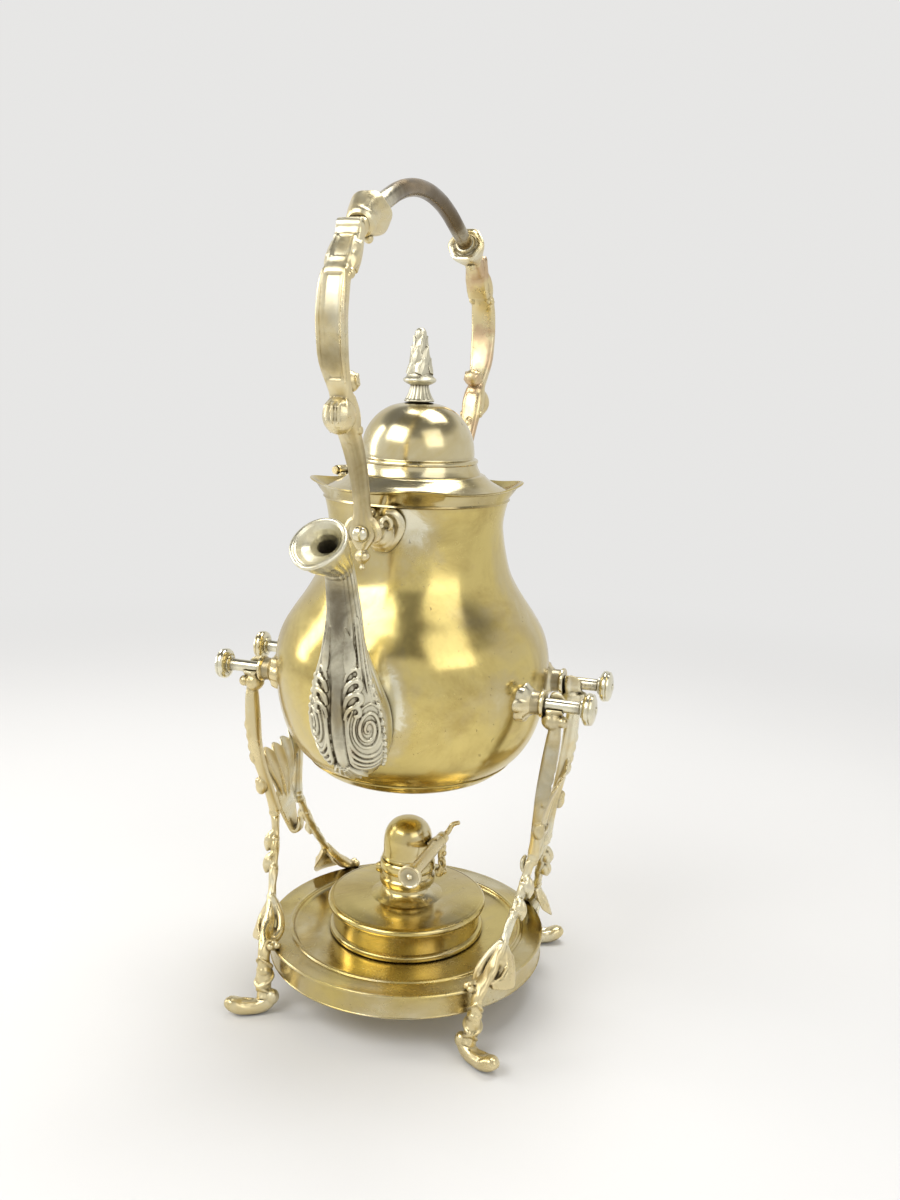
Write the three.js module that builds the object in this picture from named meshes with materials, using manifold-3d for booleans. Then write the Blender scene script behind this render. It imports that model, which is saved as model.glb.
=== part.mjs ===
// Spirit kettle on its stand: a footed spirit lamp stand, a kettle hung by four pins, a bail handle
// and a hinged lid.
// Millimetres, +Z up. The spout points to -Y and the rods the kettle hangs by point to -X and +X.
// The origin is on the table under the middle of the kettle.
import {
  BoxGeometry, BufferAttribute, BufferGeometry, CatmullRomCurve3, Color, CylinderGeometry,
  ExtrudeGeometry,
  Group, LatheGeometry, MathUtils, Mesh, MeshStandardMaterial, Quaternion, Shape, SphereGeometry,
  Vector2, Vector3,
} from "three";
import { mergeVertices } from "three/addons/utils/BufferGeometryUtils.js";
import Module from "manifold-3d";

const wasm = await Module();
wasm.setup();

// Driving sizes
const bellyRadius = 63; // widest radius of the kettle
const kettleLift = 108; // table to the kettle's bottom
const sheet = 1.5; // spun sheet metal
const baseRadius = 66.8; // base dish
const baseLift = 17.5; // table to the dish's lower edge
const baseDepth = 11.5; // height of the dish's skirt
const lampRadius = 38; // rim of the lamp
const lampDepth = 16.5; // reservoir, floor to rim
const capRadius = 12; // snuffer cap
const pinRadius = 2.8; // rods the kettle hangs by
const legThick = 2.74; // cast legs, the unit their widths are given in
const gripRadius = 3.78; // bar of the handle
const handlePin = 1.64; // rivets the handle turns on
const hingeBarrel = 2.33; // knuckles of the lid hinge
const spoutBore = 8.2; // hole in the body behind the spout
const rodRadius = 1.32; // hinge rod of the snuffer
const slack = 0.3; // fit between separate pieces

// Heights and radii that follow
const bellyHeight = kettleLift + 0.86 * bellyRadius;
const neckTop = bellyHeight + 1.195 * bellyRadius;
const neckRadius = 0.655 * bellyRadius;
const pinHeight = bellyHeight - 0.12 * bellyRadius;
const pinSpread = 0.3 * bellyRadius; // pins in front of and behind the middle
const pivotHeight = bellyHeight + 1.075 * bellyRadius;
const pivotReach = 0.985 * bellyRadius; // handle eyes in front and behind
const dishTop = baseLift + baseDepth;
const lampFloor = dishTop - 0.12 * baseDepth;
const lampTop = lampFloor + lampDepth;
const burnerRoom = kettleLift - lampTop;
const collarFoot = lampTop + 0.11 * burnerRoom;
const collarTop = lampTop + 0.3 * burnerRoom;
const capTop = lampTop + 0.62 * burnerRoom;

// Body outline from the bottom seam to the neck: shares of the belly radius, radius then height over
// the belly
const bodyShares = [
  [0.745, -0.715], [0.84, -0.62], [0.912, -0.5], [0.958, -0.36], [0.987, -0.2], [1, 0], [0.987, 0.13],
  [0.949, 0.25], [0.88, 0.37], [0.796, 0.49], [0.728, 0.6], [0.684, 0.7], [0.648, 0.85], [0.626, 1],
  [0.636, 1.1], [0.655, 1.195],
];
const bottomShares = [[0, -0.86], [0.3, -0.857], [0.52, -0.84], [0.66, -0.79], [0.745, -0.715]];

// Shape helpers
const plain = (geometry) => {
  const copy = geometry.clone();
  for (const name of Object.keys(copy.attributes)) if (name !== "position") copy.deleteAttribute(name);
  return mergeVertices(copy, bellyRadius * 1e-6);
};
const solid = (geometry) => {
  const g = plain(geometry);
  return new wasm.Manifold(new wasm.Mesh({
    numProp: 3, vertProperties: new Float32Array(g.attributes.position.array),
    triVerts: new Uint32Array(g.index.array),
  }));
};
const surface = (manifold) => {
  const mesh = manifold.getMesh();
  const g = new BufferGeometry();
  g.setAttribute("position", new BufferAttribute(new Float32Array(mesh.vertProperties), 3));
  g.setIndex(Array.from(mesh.triVerts));
  g.computeVertexNormals();
  return g;
};
const joined = (parts) => parts.slice(1).reduce((all, one) => all.add(one), parts[0]);

// Turns [radius, height] pairs about Z
const turned = (pairs, around) =>
  new LatheGeometry(pairs.map(([r, z]) => new Vector2(Math.max(r, 0), z)), around).rotateX(Math.PI / 2);

// Moves an outline to its inner side by the sheet's thickness
const inside = (pairs, by) =>
  pairs.map(([r, z], i) => {
    const before = pairs[Math.max(i - 1, 0)];
    const after = pairs[Math.min(i + 1, pairs.length - 1)];
    const along = new Vector2(after[0] - before[0], after[1] - before[1]).normalize();
    const atEnd = i === 0 || i === pairs.length - 1;
    if (atEnd && Math.abs(along.y) > 1.5 * Math.abs(along.x)) return [r - Math.sign(along.y) * by, z];
    if (atEnd && Math.abs(along.x) > 1.5 * Math.abs(along.y)) return [r, z + Math.sign(along.x) * by];
    return [r - along.y * by, z + along.x * by];
  });
const shell = (pairs, by, around) => turned([...pairs, ...inside(pairs, by).reverse(), pairs[0]],
  around);

// Lays a turned shape, built along Z, along a direction from a point
const laid = (geometry, from, toward) =>
  geometry
    .applyQuaternion(new Quaternion().setFromUnitVectors(new Vector3(0, 0, 1), toward.clone()
      .normalize()))
    .translate(from.x, from.y, from.z);

// A solid bar along a smooth line; each stop is [x, y, z, half width, half thickness], the width lies
// along `across`
const bar = (stops, across, around = 10, between = 2, square = 0.85) => {
  const line = new CatmullRomCurve3(stops.map(([x, y, z]) => new Vector3(x, y, z)), false,
    "catmullrom", 0.5);
  const girth = new CatmullRomCurve3(stops.map(([, , , w, t]) => new Vector3(w, t, 0)), false,
    "catmullrom", 0.5);
  const steps = (stops.length - 1) * between;
  const points = [];
  const faces = [];
  const round = (v) => Math.sign(v) * Math.abs(v) ** square;
  for (let k = 0; k <= steps; k += 1) {
    const centre = line.getPoint(k / steps);
    const along = line.getTangent(k / steps);
    const size = girth.getPoint(k / steps);
    const wide = across.clone().addScaledVector(along, -across.dot(along)).normalize();
    const thick = new Vector3().crossVectors(along, wide);
    for (let i = 0; i < around; i += 1) {
      const turn = ((i + 0.5) / around) * 2 * Math.PI;
      const p = centre.clone()
        .addScaledVector(wide, size.x * round(Math.cos(turn)))
        .addScaledVector(thick, size.y * round(Math.sin(turn)));
      points.push(p.x, p.y, p.z);
      const j = (i + 1) % around;
      if (k < steps) {
        const a = k * around;
        faces.push(a + i, a + j, a + around + j, a + i, a + around + j, a + around + i);
      }
    }
  }
  const last = steps * around;
  for (let i = 1; i < around - 1; i += 1) {
    faces.push(0, i + 1, i);
    faces.push(last, last + i, last + i + 1);
  }
  const g = new BufferGeometry();
  g.setAttribute("position", new BufferAttribute(new Float32Array(points), 3));
  g.setIndex(faces);
  return g;
};

const group = new Group();
group.name = "spirit_kettle";
const paints = {
  gilt: new MeshStandardMaterial({ name: "worn_plate", color: new Color(0.72, 0.6, 0.34),
    metalness: 1, roughness: 0.22 }),
  cast: new MeshStandardMaterial({ name: "cast_plate", color: new Color(0.78, 0.74, 0.64),
    metalness: 1, roughness: 0.32 }),
  bronze: new MeshStandardMaterial({ name: "grip_bronze", color: new Color(0.27, 0.21, 0.13),
    metalness: 1, roughness: 0.35 }),
  cotton: new MeshStandardMaterial({ name: "wick_cotton", color: new Color(0.8, 0.77, 0.68),
    metalness: 0, roughness: 0.95 }),
};
const add = (name, geometry, paint) => {
  const mesh = new Mesh(geometry, paints[paint]);
  mesh.name = name;
  group.add(mesh);
};

// Kettle body
const aroundBody = 36;
const toSize = (shares) => shares.map(([r, z]) => [r * bellyRadius, bellyHeight + z * bellyRadius]);
const bodyLine = toSize(bodyShares);
const bottomLine = toSize(bottomShares);
{
  const seam = new Vector2(bodyLine[1][0] - bodyLine[0][0], bodyLine[1][1] - bodyLine[0][1])
    .normalize();
  bodyLine[0] = [bodyLine[0][0] + seam.x * slack, bodyLine[0][1] + seam.y * slack];
}
const spoutRootHeight = bellyHeight + 0.1 * bellyRadius;
const bodyHull = (extra) => {
  const line = toSize([...bottomShares.slice(0, -1), ...bodyShares])
    .map(([r, z], i) => [r + (i ? extra : 0), z]);
  line[0][1] -= extra;
  line[1][1] -= extra;
  line[2][1] -= extra;
  const top = line[line.length - 1];
  return solid(turned([...line, [0, top[1]]], aroundBody));
};
const bodySkin = bodyHull(slack);
const mouthOfSpout = solid(new CylinderGeometry(spoutBore, spoutBore, 0.6 * bellyRadius, 20))
  .translate(0, -0.95 * bellyRadius, spoutRootHeight);
add("kettle_body", surface(solid(shell(bodyLine, sheet, aroundBody)).subtract(mouthOfSpout)), "gilt");
add("kettle_bottom", shell(bottomLine, sheet, aroundBody), "gilt");

// Rim with four pouring corners
const ledge = neckTop + 0.065 * bellyRadius;
const rimTop = neckTop + 0.097 * bellyRadius;
const cornerTurn = 20; // degrees from +X to the first corner
const ledgeInner = 0.575 * bellyRadius;
const rimRadius = 0.672 * bellyRadius;
const rimWall = 0.02 * bellyRadius;
// The rim's surface, grown by extra on its outer side
const rimSurface = (extra) => {
  const around = 48;
  const points = [];
  const faces = [];
  for (let j = 0; j < around; j += 1) {
    const turn = (j / around) * 2 * Math.PI;
    const corner = (0.5 + 0.5 * Math.cos(4 * (turn - MathUtils.degToRad(cornerTurn)))) ** 2;
    const outer = rimRadius + corner * 0.095 * bellyRadius;
    const top = rimTop + corner * 0.045 * bellyRadius;
    const section = [
      [ledgeInner, neckTop - extra],
      [neckRadius + extra, neckTop - extra],
      [neckRadius + 0.3 * rimWall + extra, neckTop + 0.3 * (rimTop - neckTop)],
      [outer + extra, top + extra],
      [outer - rimWall, top + extra],
      [outer - 1.25 * rimWall, ledge],
      [ledgeInner, ledge],
    ];
    section.forEach(([r, z], i) => {
      points.push(r * Math.cos(turn), r * Math.sin(turn), z);
      const a = j * section.length;
      const b = ((j + 1) % around) * section.length;
      const next = (i + 1) % section.length;
      faces.push(a + i, b + i, b + next, a + i, b + next, a + next);
    });
  }
  const g = new BufferGeometry();
  g.setAttribute("position", new BufferAttribute(new Float32Array(points), 3));
  g.setIndex(faces);
  return g;
};
add("rim_collar", rimSurface(0), "gilt");

// Spout
// Stops from the foot of the seat to the mouth: shares of the belly radius, reach to the front, height
// over the belly,
// half width and half thickness
const spoutShares = [
  [0.9, -0.56, 0.03, 0.03], [0.97, -0.46, 0.15, 0.12], [1.05, -0.3, 0.24, 0.22],
  [1.14, -0.08, 0.26, 0.23],
  [1.21, 0.14, 0.21, 0.18], [1.25, 0.38, 0.135, 0.135], [1.27, 0.62, 0.108, 0.108],
  [1.335, 0.86, 0.092, 0.092],
  [1.42, 0.965, 0.098, 0.105], [1.5, 1.03, 0.125, 0.145], [1.6, 1.1, 0.158, 0.19],
  [1.74, 1.205, 0.17, 0.205],
];
const throatShares = [
  [0.7, 0.1, 0.12, 0.12], [1.02, 0.08, 0.12, 0.12], [1.19, 0.22, 0.1, 0.09], [1.25, 0.42, 0.08, 0.08],
  [1.27, 0.62, 0.072, 0.072], [1.335, 0.86, 0.06, 0.06], [1.42, 0.965, 0.066, 0.072],
  [1.5, 1.035, 0.095, 0.112],
  [1.6, 1.105, 0.134, 0.164], [1.76, 1.22, 0.15, 0.184],
];
const mouthReachShare = 1.659;
const mouthRiseShare = 1.148;
const mouthTilt = 32; // degrees its rim dips towards the front
const spoutStops = (shares) => shares.map(([reach, rise, wide, thick]) =>
  [0, -reach * bellyRadius, bellyHeight + rise * bellyRadius, wide * bellyRadius, thick * bellyRadius]);
const sideways = new Vector3(1, 0, 0);
const overMouth = solid(new BoxGeometry(bellyRadius, bellyRadius, bellyRadius)
  .translate(0, 0, bellyRadius / 2))
  .rotate([mouthTilt, 0, 0])
  .translate(0, -mouthReachShare * bellyRadius, bellyHeight + mouthRiseShare * bellyRadius);
add("spout", surface(
  solid(bar(spoutStops(spoutShares), sideways, 14, 2, 1)).subtract(bodySkin).subtract(overMouth)
    .subtract(solid(bar(spoutStops(throatShares), sideways, 10, 1, 1))),
), "cast");
{
  const plate = solid(new CylinderGeometry(spoutBore - slack, spoutBore - slack, 0.7 * sheet, 20));
  const holes = [];
  const hole = (x, z) => solid(new CylinderGeometry(0.13 * spoutBore, 0.13 * spoutBore, 3 * sheet, 8))
    .translate(x, 0, z);
  holes.push(hole(0, 0));
  for (let i = 0; i < 6; i += 1) {
    const turn = (i / 6) * 2 * Math.PI;
    holes.push(hole(0.55 * spoutBore * Math.cos(turn), 0.55 * spoutBore * Math.sin(turn)));
  }
  add("spout_strainer", surface(
    plate.subtract(joined(holes)).translate(0, -0.972 * bellyRadius, spoutRootHeight)), "gilt");
}

// Lid
const lidRadius = rimRadius - 1.25 * rimWall - 2 * slack;
const skirtRadius = ledgeInner - 2 * slack;
const skirtDrop = 0.06 * bellyRadius;
// Lid outline over its seat: shares of the belly radius, from the flange edge to the finial's hole
const lidShares = [
  [0.6, 0.03], [0.54, 0.058], [0.49, 0.096], [0.462, 0.124], [0.448, 0.137], [0.426, 0.193],
  [0.428, 0.207],
  [0.412, 0.224], [0.404, 0.23], [0.402, 0.263], [0.392, 0.343], [0.368, 0.413], [0.328, 0.478],
  [0.268, 0.538],
  [0.19, 0.582], [0.1, 0.604],
];
const finialHole = 0.035 * bellyRadius;
const domeTop = ledge + 0.61 * bellyRadius;
const lidLine = [...lidShares.map(([r, z]) => [r * bellyRadius, ledge + z * bellyRadius]),
  [finialHole, domeTop]];
const lidOuter = [[skirtRadius, ledge - skirtDrop], [skirtRadius, ledge], [lidRadius, ledge],
  [lidRadius, ledge + 0.016 * bellyRadius], ...lidLine];
{
  const under = inside(lidLine, sheet).filter(([r], i) => r < skirtRadius - sheet && i % 2 === 0)
    .reverse();
  const bottomOfSkirt = [skirtRadius - sheet, ledge - skirtDrop];
  const headOfSkirt = [skirtRadius - sheet, ledge + 0.016 * bellyRadius];
  under.splice(1, 0, [2.4 * finialHole, domeTop - sheet]);
  add("lid", turned([...lidOuter, ...under, headOfSkirt, bottomOfSkirt, lidOuter[0]], aroundBody),
    "gilt");
}
const lidHull = (extra) => solid(turned([[0, ledge - extra], ...lidOuter.slice(2)
  .map(([r, z]) => [r + extra, z + extra]),
  [0, domeTop + extra]], aroundBody));

// Finial outline over the dome: shares of the belly radius
const finialShares = [
  [0.1, 0.006], [0.098, 0.021], [0.07, 0.057], [0.06, 0.096], [0.08, 0.117], [0.114, 0.126],
  [0.118, 0.142],
  [0.112, 0.188], [0.096, 0.195], [0.106, 0.216], [0.108, 0.249], [0.09, 0.297], [0.078, 0.335],
  [0.08, 0.346],
  [0.06, 0.402], [0.042, 0.44], [0.05, 0.464], [0.044, 0.488], [0.024, 0.507], [0, 0.512],
];
const studRadius = finialHole - slack;
const nutDepth = 0.045 * bellyRadius;
add("lid_finial", turned([
  [0, domeTop - sheet - 1.3 * nutDepth], [studRadius, domeTop - sheet - 1.3 * nutDepth],
  [studRadius, domeTop + slack],
  ...finialShares.map(([r, z]) => [r * bellyRadius, domeTop + slack + z * bellyRadius]),
], 16), "cast");
add("finial_nut", turned([
  [finialHole, domeTop - sheet - slack - nutDepth],
  [2.2 * finialHole, domeTop - sheet - slack - nutDepth],
  [2.2 * finialHole, domeTop - sheet - slack], [finialHole, domeTop - sheet - slack],
  [finialHole, domeTop - sheet - slack - nutDepth],
], 6), "cast");

// Lid hinge, drawn at -X and turned to the middle of the side between two corners
const hingeTurn = cornerTurn - 45; // degrees from -X
const hingePinRadius = 0.4 * hingeBarrel;
const hingeX = -(rimRadius + hingeBarrel + slack);
const hingeZ = rimTop + hingeBarrel + slack;
const knuckle = 1.62 * hingeBarrel; // half length of the middle knuckle
const alongY = (radius, from, to, around = 14) =>
  solid(new CylinderGeometry(radius, radius, to - from, around)).translate(0, (from + to) / 2, 0);
const box = (x0, x1, y0, y1, z0, z1) =>
  solid(new BoxGeometry(x1 - x0, y1 - y0, z1 - z0))
    .translate((x0 + x1) / 2, (y0 + y1) / 2, (z0 + z1) / 2);
{
  const bore = alongY(hingePinRadius + slack, -9 * knuckle, 9 * knuckle).translate(hingeX, 0, hingeZ);
  const outerEnd = 2.3 * knuckle;
  const back = box(hingeX - hingeBarrel, -0.98 * rimRadius, -outerEnd, outerEnd,
    rimTop - 2.2 * hingeBarrel, hingeZ - hingeBarrel - slack);
  const ears = [-1, 1].map((side) => joined([
    alongY(hingeBarrel, knuckle + slack, outerEnd),
    box(-hingeBarrel, 0.2 * hingeBarrel, knuckle + slack, outerEnd, -1.6 * hingeBarrel, 0),
  ]).scale([1, side, 1]).translate(hingeX, 0, hingeZ));
  add("lid_hinge_kettle_leaf", surface(
    joined([back, ...ears]).subtract(bore).rotate([0, 0, hingeTurn])
      .subtract(solid(rimSurface(slack)))), "cast");
  const tongue = box(hingeX, -0.56 * bellyRadius, -knuckle, knuckle, hingeZ - hingeBarrel + slack,
    hingeZ);
  add("lid_hinge_lid_leaf", surface(
    joined([alongY(hingeBarrel, -knuckle, knuckle).translate(hingeX, 0, hingeZ), tongue])
      .subtract(lidHull(slack)).subtract(bore).rotate([0, 0, hingeTurn])), "cast");
  const headFrom = outerEnd + slack;
  const headTo = headFrom + 1.2 * hingePinRadius;
  add("lid_hinge_pin", surface(joined([
    alongY(hingePinRadius, -headTo, headTo),
    alongY(1.9 * hingePinRadius, -headTo, -headFrom),
    alongY(1.9 * hingePinRadius, headFrom, headTo),
  ]).translate(hingeX, 0, hingeZ).rotate([0, 0, hingeTurn])), "cast");
}

// Bail handle, front and rear
const eyeHalf = 0.036 * bellyRadius; // half thickness of an arm at its eye
// Arm stops from the drop under the eye to the ferrule: shares of the belly radius, reach, height over
// the pivot,
// half width and half thickness
const armShares = [
  [0.985, -0.205, 0.015, 0.015], [0.985, -0.16, 0.05, 0.045], [0.985, -0.1, 0.03, 0.028],
  [0.985, 0, 0.092, 0.036],
  [0.988, 0.1, 0.068, 0.036], [1.015, 0.24, 0.058, 0.032], [1.07, 0.4, 0.064, 0.032],
  [1.18, 0.59, 0.075, 0.034],
  [1.28, 0.735, 0.088, 0.062], [1.335, 0.85, 0.094, 0.074], [1.4, 0.96, 0.082, 0.042],
  [1.465, 1.1, 0.098, 0.035],
  [1.5, 1.29, 0.101, 0.035], [1.468, 1.46, 0.098, 0.036], [1.4, 1.585, 0.084, 0.042],
  [1.31, 1.69, 0.08, 0.062],
  [1.21, 1.79, 0.074, 0.05], [1.115, 1.865, 0.068, 0.05],
];
const lugShares = [[0.5, -0.05, 0.1, 0.15], [0.66, -0.04, 0.085, 0.14], [0.75, 0, 0.055, 0.08],
  [0.85, 0, 0.05, 0.075], [0.945, 0, 0.058, 0.095]];
const ferruleReach = 1.105 * bellyRadius;
const ferruleHeight = pivotHeight + 1.87 * bellyRadius;
const ferruleLean = new Vector3(0, 0.9, 0.42).normalize();
const ferruleLength = 0.26 * bellyRadius;
const ferruleFloor = 0.14 * bellyRadius;
for (const side of [-1, 1]) {
  const place = side < 0 ? "front" : "rear";
  const at = (shares) => shares.map(([reach, rise, wide, thick]) =>
    [0, side * reach * bellyRadius, pivotHeight + rise * bellyRadius, wide * bellyRadius,
    thick * bellyRadius]);
  const lugEnd = pivotReach - eyeHalf - slack;
  const lugStops = at(lugShares).map((stop, i, all) => (i === all.length - 1
    ? [stop[0], side * lugEnd, ...stop.slice(2)] : stop));
  const pinHole = solid(new CylinderGeometry(handlePin + slack, handlePin + slack, 0.5 * bellyRadius,
    14))
    .translate(0, side * 1.02 * bellyRadius, pivotHeight);
  const beyond = (from, to) => box(-0.3 * bellyRadius, 0.3 * bellyRadius,
    Math.min(side * from, side * to),
    Math.max(side * from, side * to), pivotHeight - 0.17 * bellyRadius,
      pivotHeight + 0.13 * bellyRadius);
  add(`handle_lug_${place}`, surface(solid(bar(lugStops, sideways, 12, 2)).subtract(bodySkin)
    .subtract(pinHole)
    .subtract(beyond(lugEnd, 1.5 * bellyRadius))), "cast");
  const headStart = pivotReach + eyeHalf + slack;
  const headEnd = headStart + 0.055 * bellyRadius;
  const pinProfile = [[0, 0.78 * bellyRadius], [handlePin, 0.78 * bellyRadius], [handlePin, headStart],
    [2.1 * handlePin, headStart], [2 * handlePin, 0.5 * (headStart + headEnd)], [handlePin, headEnd],
    [0, headEnd]];
  add(`handle_pin_${place}`, laid(turned(pinProfile, 14), new Vector3(0, 0, pivotHeight),
    new Vector3(0, side, 0)), "cast");
  const knop = solid(new SphereGeometry(0.068 * bellyRadius, 10, 6)).scale([1.1, 1, 1])
    .translate(0, side * 1.27 * bellyRadius, pivotHeight + 0.9 * bellyRadius);
  const lip = solid(new CylinderGeometry(0.04 * bellyRadius, 0.04 * bellyRadius, 0.2 * bellyRadius, 10))
    .rotate([0, 0, 90]).translate(0, side * 1.43 * bellyRadius, pivotHeight + 1.585 * bellyRadius);
  const armBase = new Vector3(0, side * ferruleReach, ferruleHeight);
  const lean = new Vector3(0, -side * ferruleLean.y, ferruleLean.z);
  const cup = (grow) => laid(turned([
    [0, -grow], [0.085 * bellyRadius + grow, -grow], [0.12 * bellyRadius + grow, 0.055 * bellyRadius],
    [0.135 * bellyRadius + grow, 0.13 * bellyRadius], [0.112 * bellyRadius + grow, 0.2 * bellyRadius],
    [0.092 * bellyRadius + grow, ferruleLength + grow], [0, ferruleLength + grow],
  ], 10), armBase, lean);
  add(`handle_arm_${place}`, surface(
    joined([solid(bar(at(armShares), sideways, 8, 1)), knop, lip]).subtract(pinHole)
      .subtract(solid(cup(slack)))
      .subtract(beyond(0, pivotReach - eyeHalf))
        .subtract(beyond(pivotReach + eyeHalf, 1.2 * bellyRadius))), "cast");
  const socket = solid(laid(new CylinderGeometry(gripRadius + slack, gripRadius + slack,
    ferruleLength, 14)
    .rotateX(Math.PI / 2), armBase.clone().addScaledVector(lean, ferruleFloor + ferruleLength / 2),
      lean));
  add(`handle_ferrule_${place}`, surface(solid(cup(0)).subtract(socket)), "cast");
}
{
  const end = new Vector3(0, -ferruleReach, ferruleHeight)
    .addScaledVector(new Vector3(0, ferruleLean.y, ferruleLean.z), ferruleFloor + slack);
  const mouth = new Vector3(0, -ferruleReach, ferruleHeight)
    .addScaledVector(new Vector3(0, ferruleLean.y, ferruleLean.z), ferruleLength);
  const rise = 0.255 * bellyRadius;
  const half = [[end.y, end.z], [mouth.y, mouth.z], [0.62 * mouth.y, mouth.z + 0.55 * rise],
    [0.31 * mouth.y, mouth.z + 0.82 * rise]];
  const stops = [...half, [0, mouth.z + 0.9 * rise], ...half.map(([y, z]) => [-y, z]).reverse()];
  add("handle_grip", bar(stops.map(([y, z]) => [0, y, z, gripRadius, gripRadius]), sideways, 12, 3,
    1), "bronze");
}

// Four bosses and pins the kettle hangs by
const bossFace = 1.085 * bellyRadius;
const bossFloor = 1.02 * bellyRadius;
const bossRadius = 2.15 * pinRadius;
const cradleInner = bossFace + 0.012 * bellyRadius;
const cradleOuter = cradleInner + 3 * pinRadius;
const pinEnd = 1.445 * bellyRadius;
for (const side of [-1, 1]) {
  for (const end of [-1, 1]) {
    const place = `${end < 0 ? "front" : "rear"}_${side < 0 ? "left" : "right"}`;
    const from = new Vector3(0, end * pinSpread, pinHeight);
    const toward = new Vector3(side, 0, 0);
    const studRoom = 0.72 * pinRadius + slack;
    const boss = solid(laid(turned([
      [0, 0.86 * bellyRadius], [1.28 * bossRadius, 0.86 * bellyRadius],
      [1.28 * bossRadius, 0.985 * bellyRadius],
      [bossRadius, 1.0 * bellyRadius], [0.94 * bossRadius, 1.055 * bellyRadius],
      [1.1 * bossRadius, 1.068 * bellyRadius],
      [bossRadius, bossFace], [studRoom, bossFace], [studRoom, bossFloor], [0, bossFloor],
    ], 20), from, toward));
    add(`pin_boss_${place}`, surface(boss.subtract(bodySkin)), "cast");
    const shoulder = bossFace + slack;
    const head = pinEnd - 2.3 * pinRadius;
    add(`hanging_pin_${place}`, laid(turned([
      [0, bossFloor + slack], [0.72 * pinRadius, bossFloor + slack], [0.72 * pinRadius, shoulder],
      [pinRadius, shoulder],
      [pinRadius, head], [1.5 * pinRadius, head + 0.25 * pinRadius],
      [2.45 * pinRadius, head + 0.85 * pinRadius],
      [2.55 * pinRadius, head + 1.3 * pinRadius], [2.5 * pinRadius, head + 1.9 * pinRadius],
      [2.2 * pinRadius, head + 2.2 * pinRadius], [0.8 * pinRadius, pinEnd], [0, pinEnd],
    ], 18), from, toward), "cast");
  }
}

// Base dish
const ridge = 0.83 * baseRadius;
add("base_dish", shell([
  [baseRadius - 0.1 * baseDepth, baseLift], [baseRadius - 0.07 * baseDepth, baseLift + 0.5 * baseDepth],
  [baseRadius, dishTop - 0.08 * baseDepth], [baseRadius - 0.03 * baseDepth, dishTop],
  [ridge + 0.12 * baseDepth, dishTop + 0.02 * baseDepth],
  [ridge + 0.06 * baseDepth, dishTop + 0.1 * baseDepth],
  [ridge - 0.06 * baseDepth, dishTop + 0.1 * baseDepth],
  [ridge - 0.16 * baseDepth, lampFloor + 0.04 * baseDepth],
  [ridge - 0.3 * baseDepth, lampFloor], [0, lampFloor],
], sheet, 40), "gilt");

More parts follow.
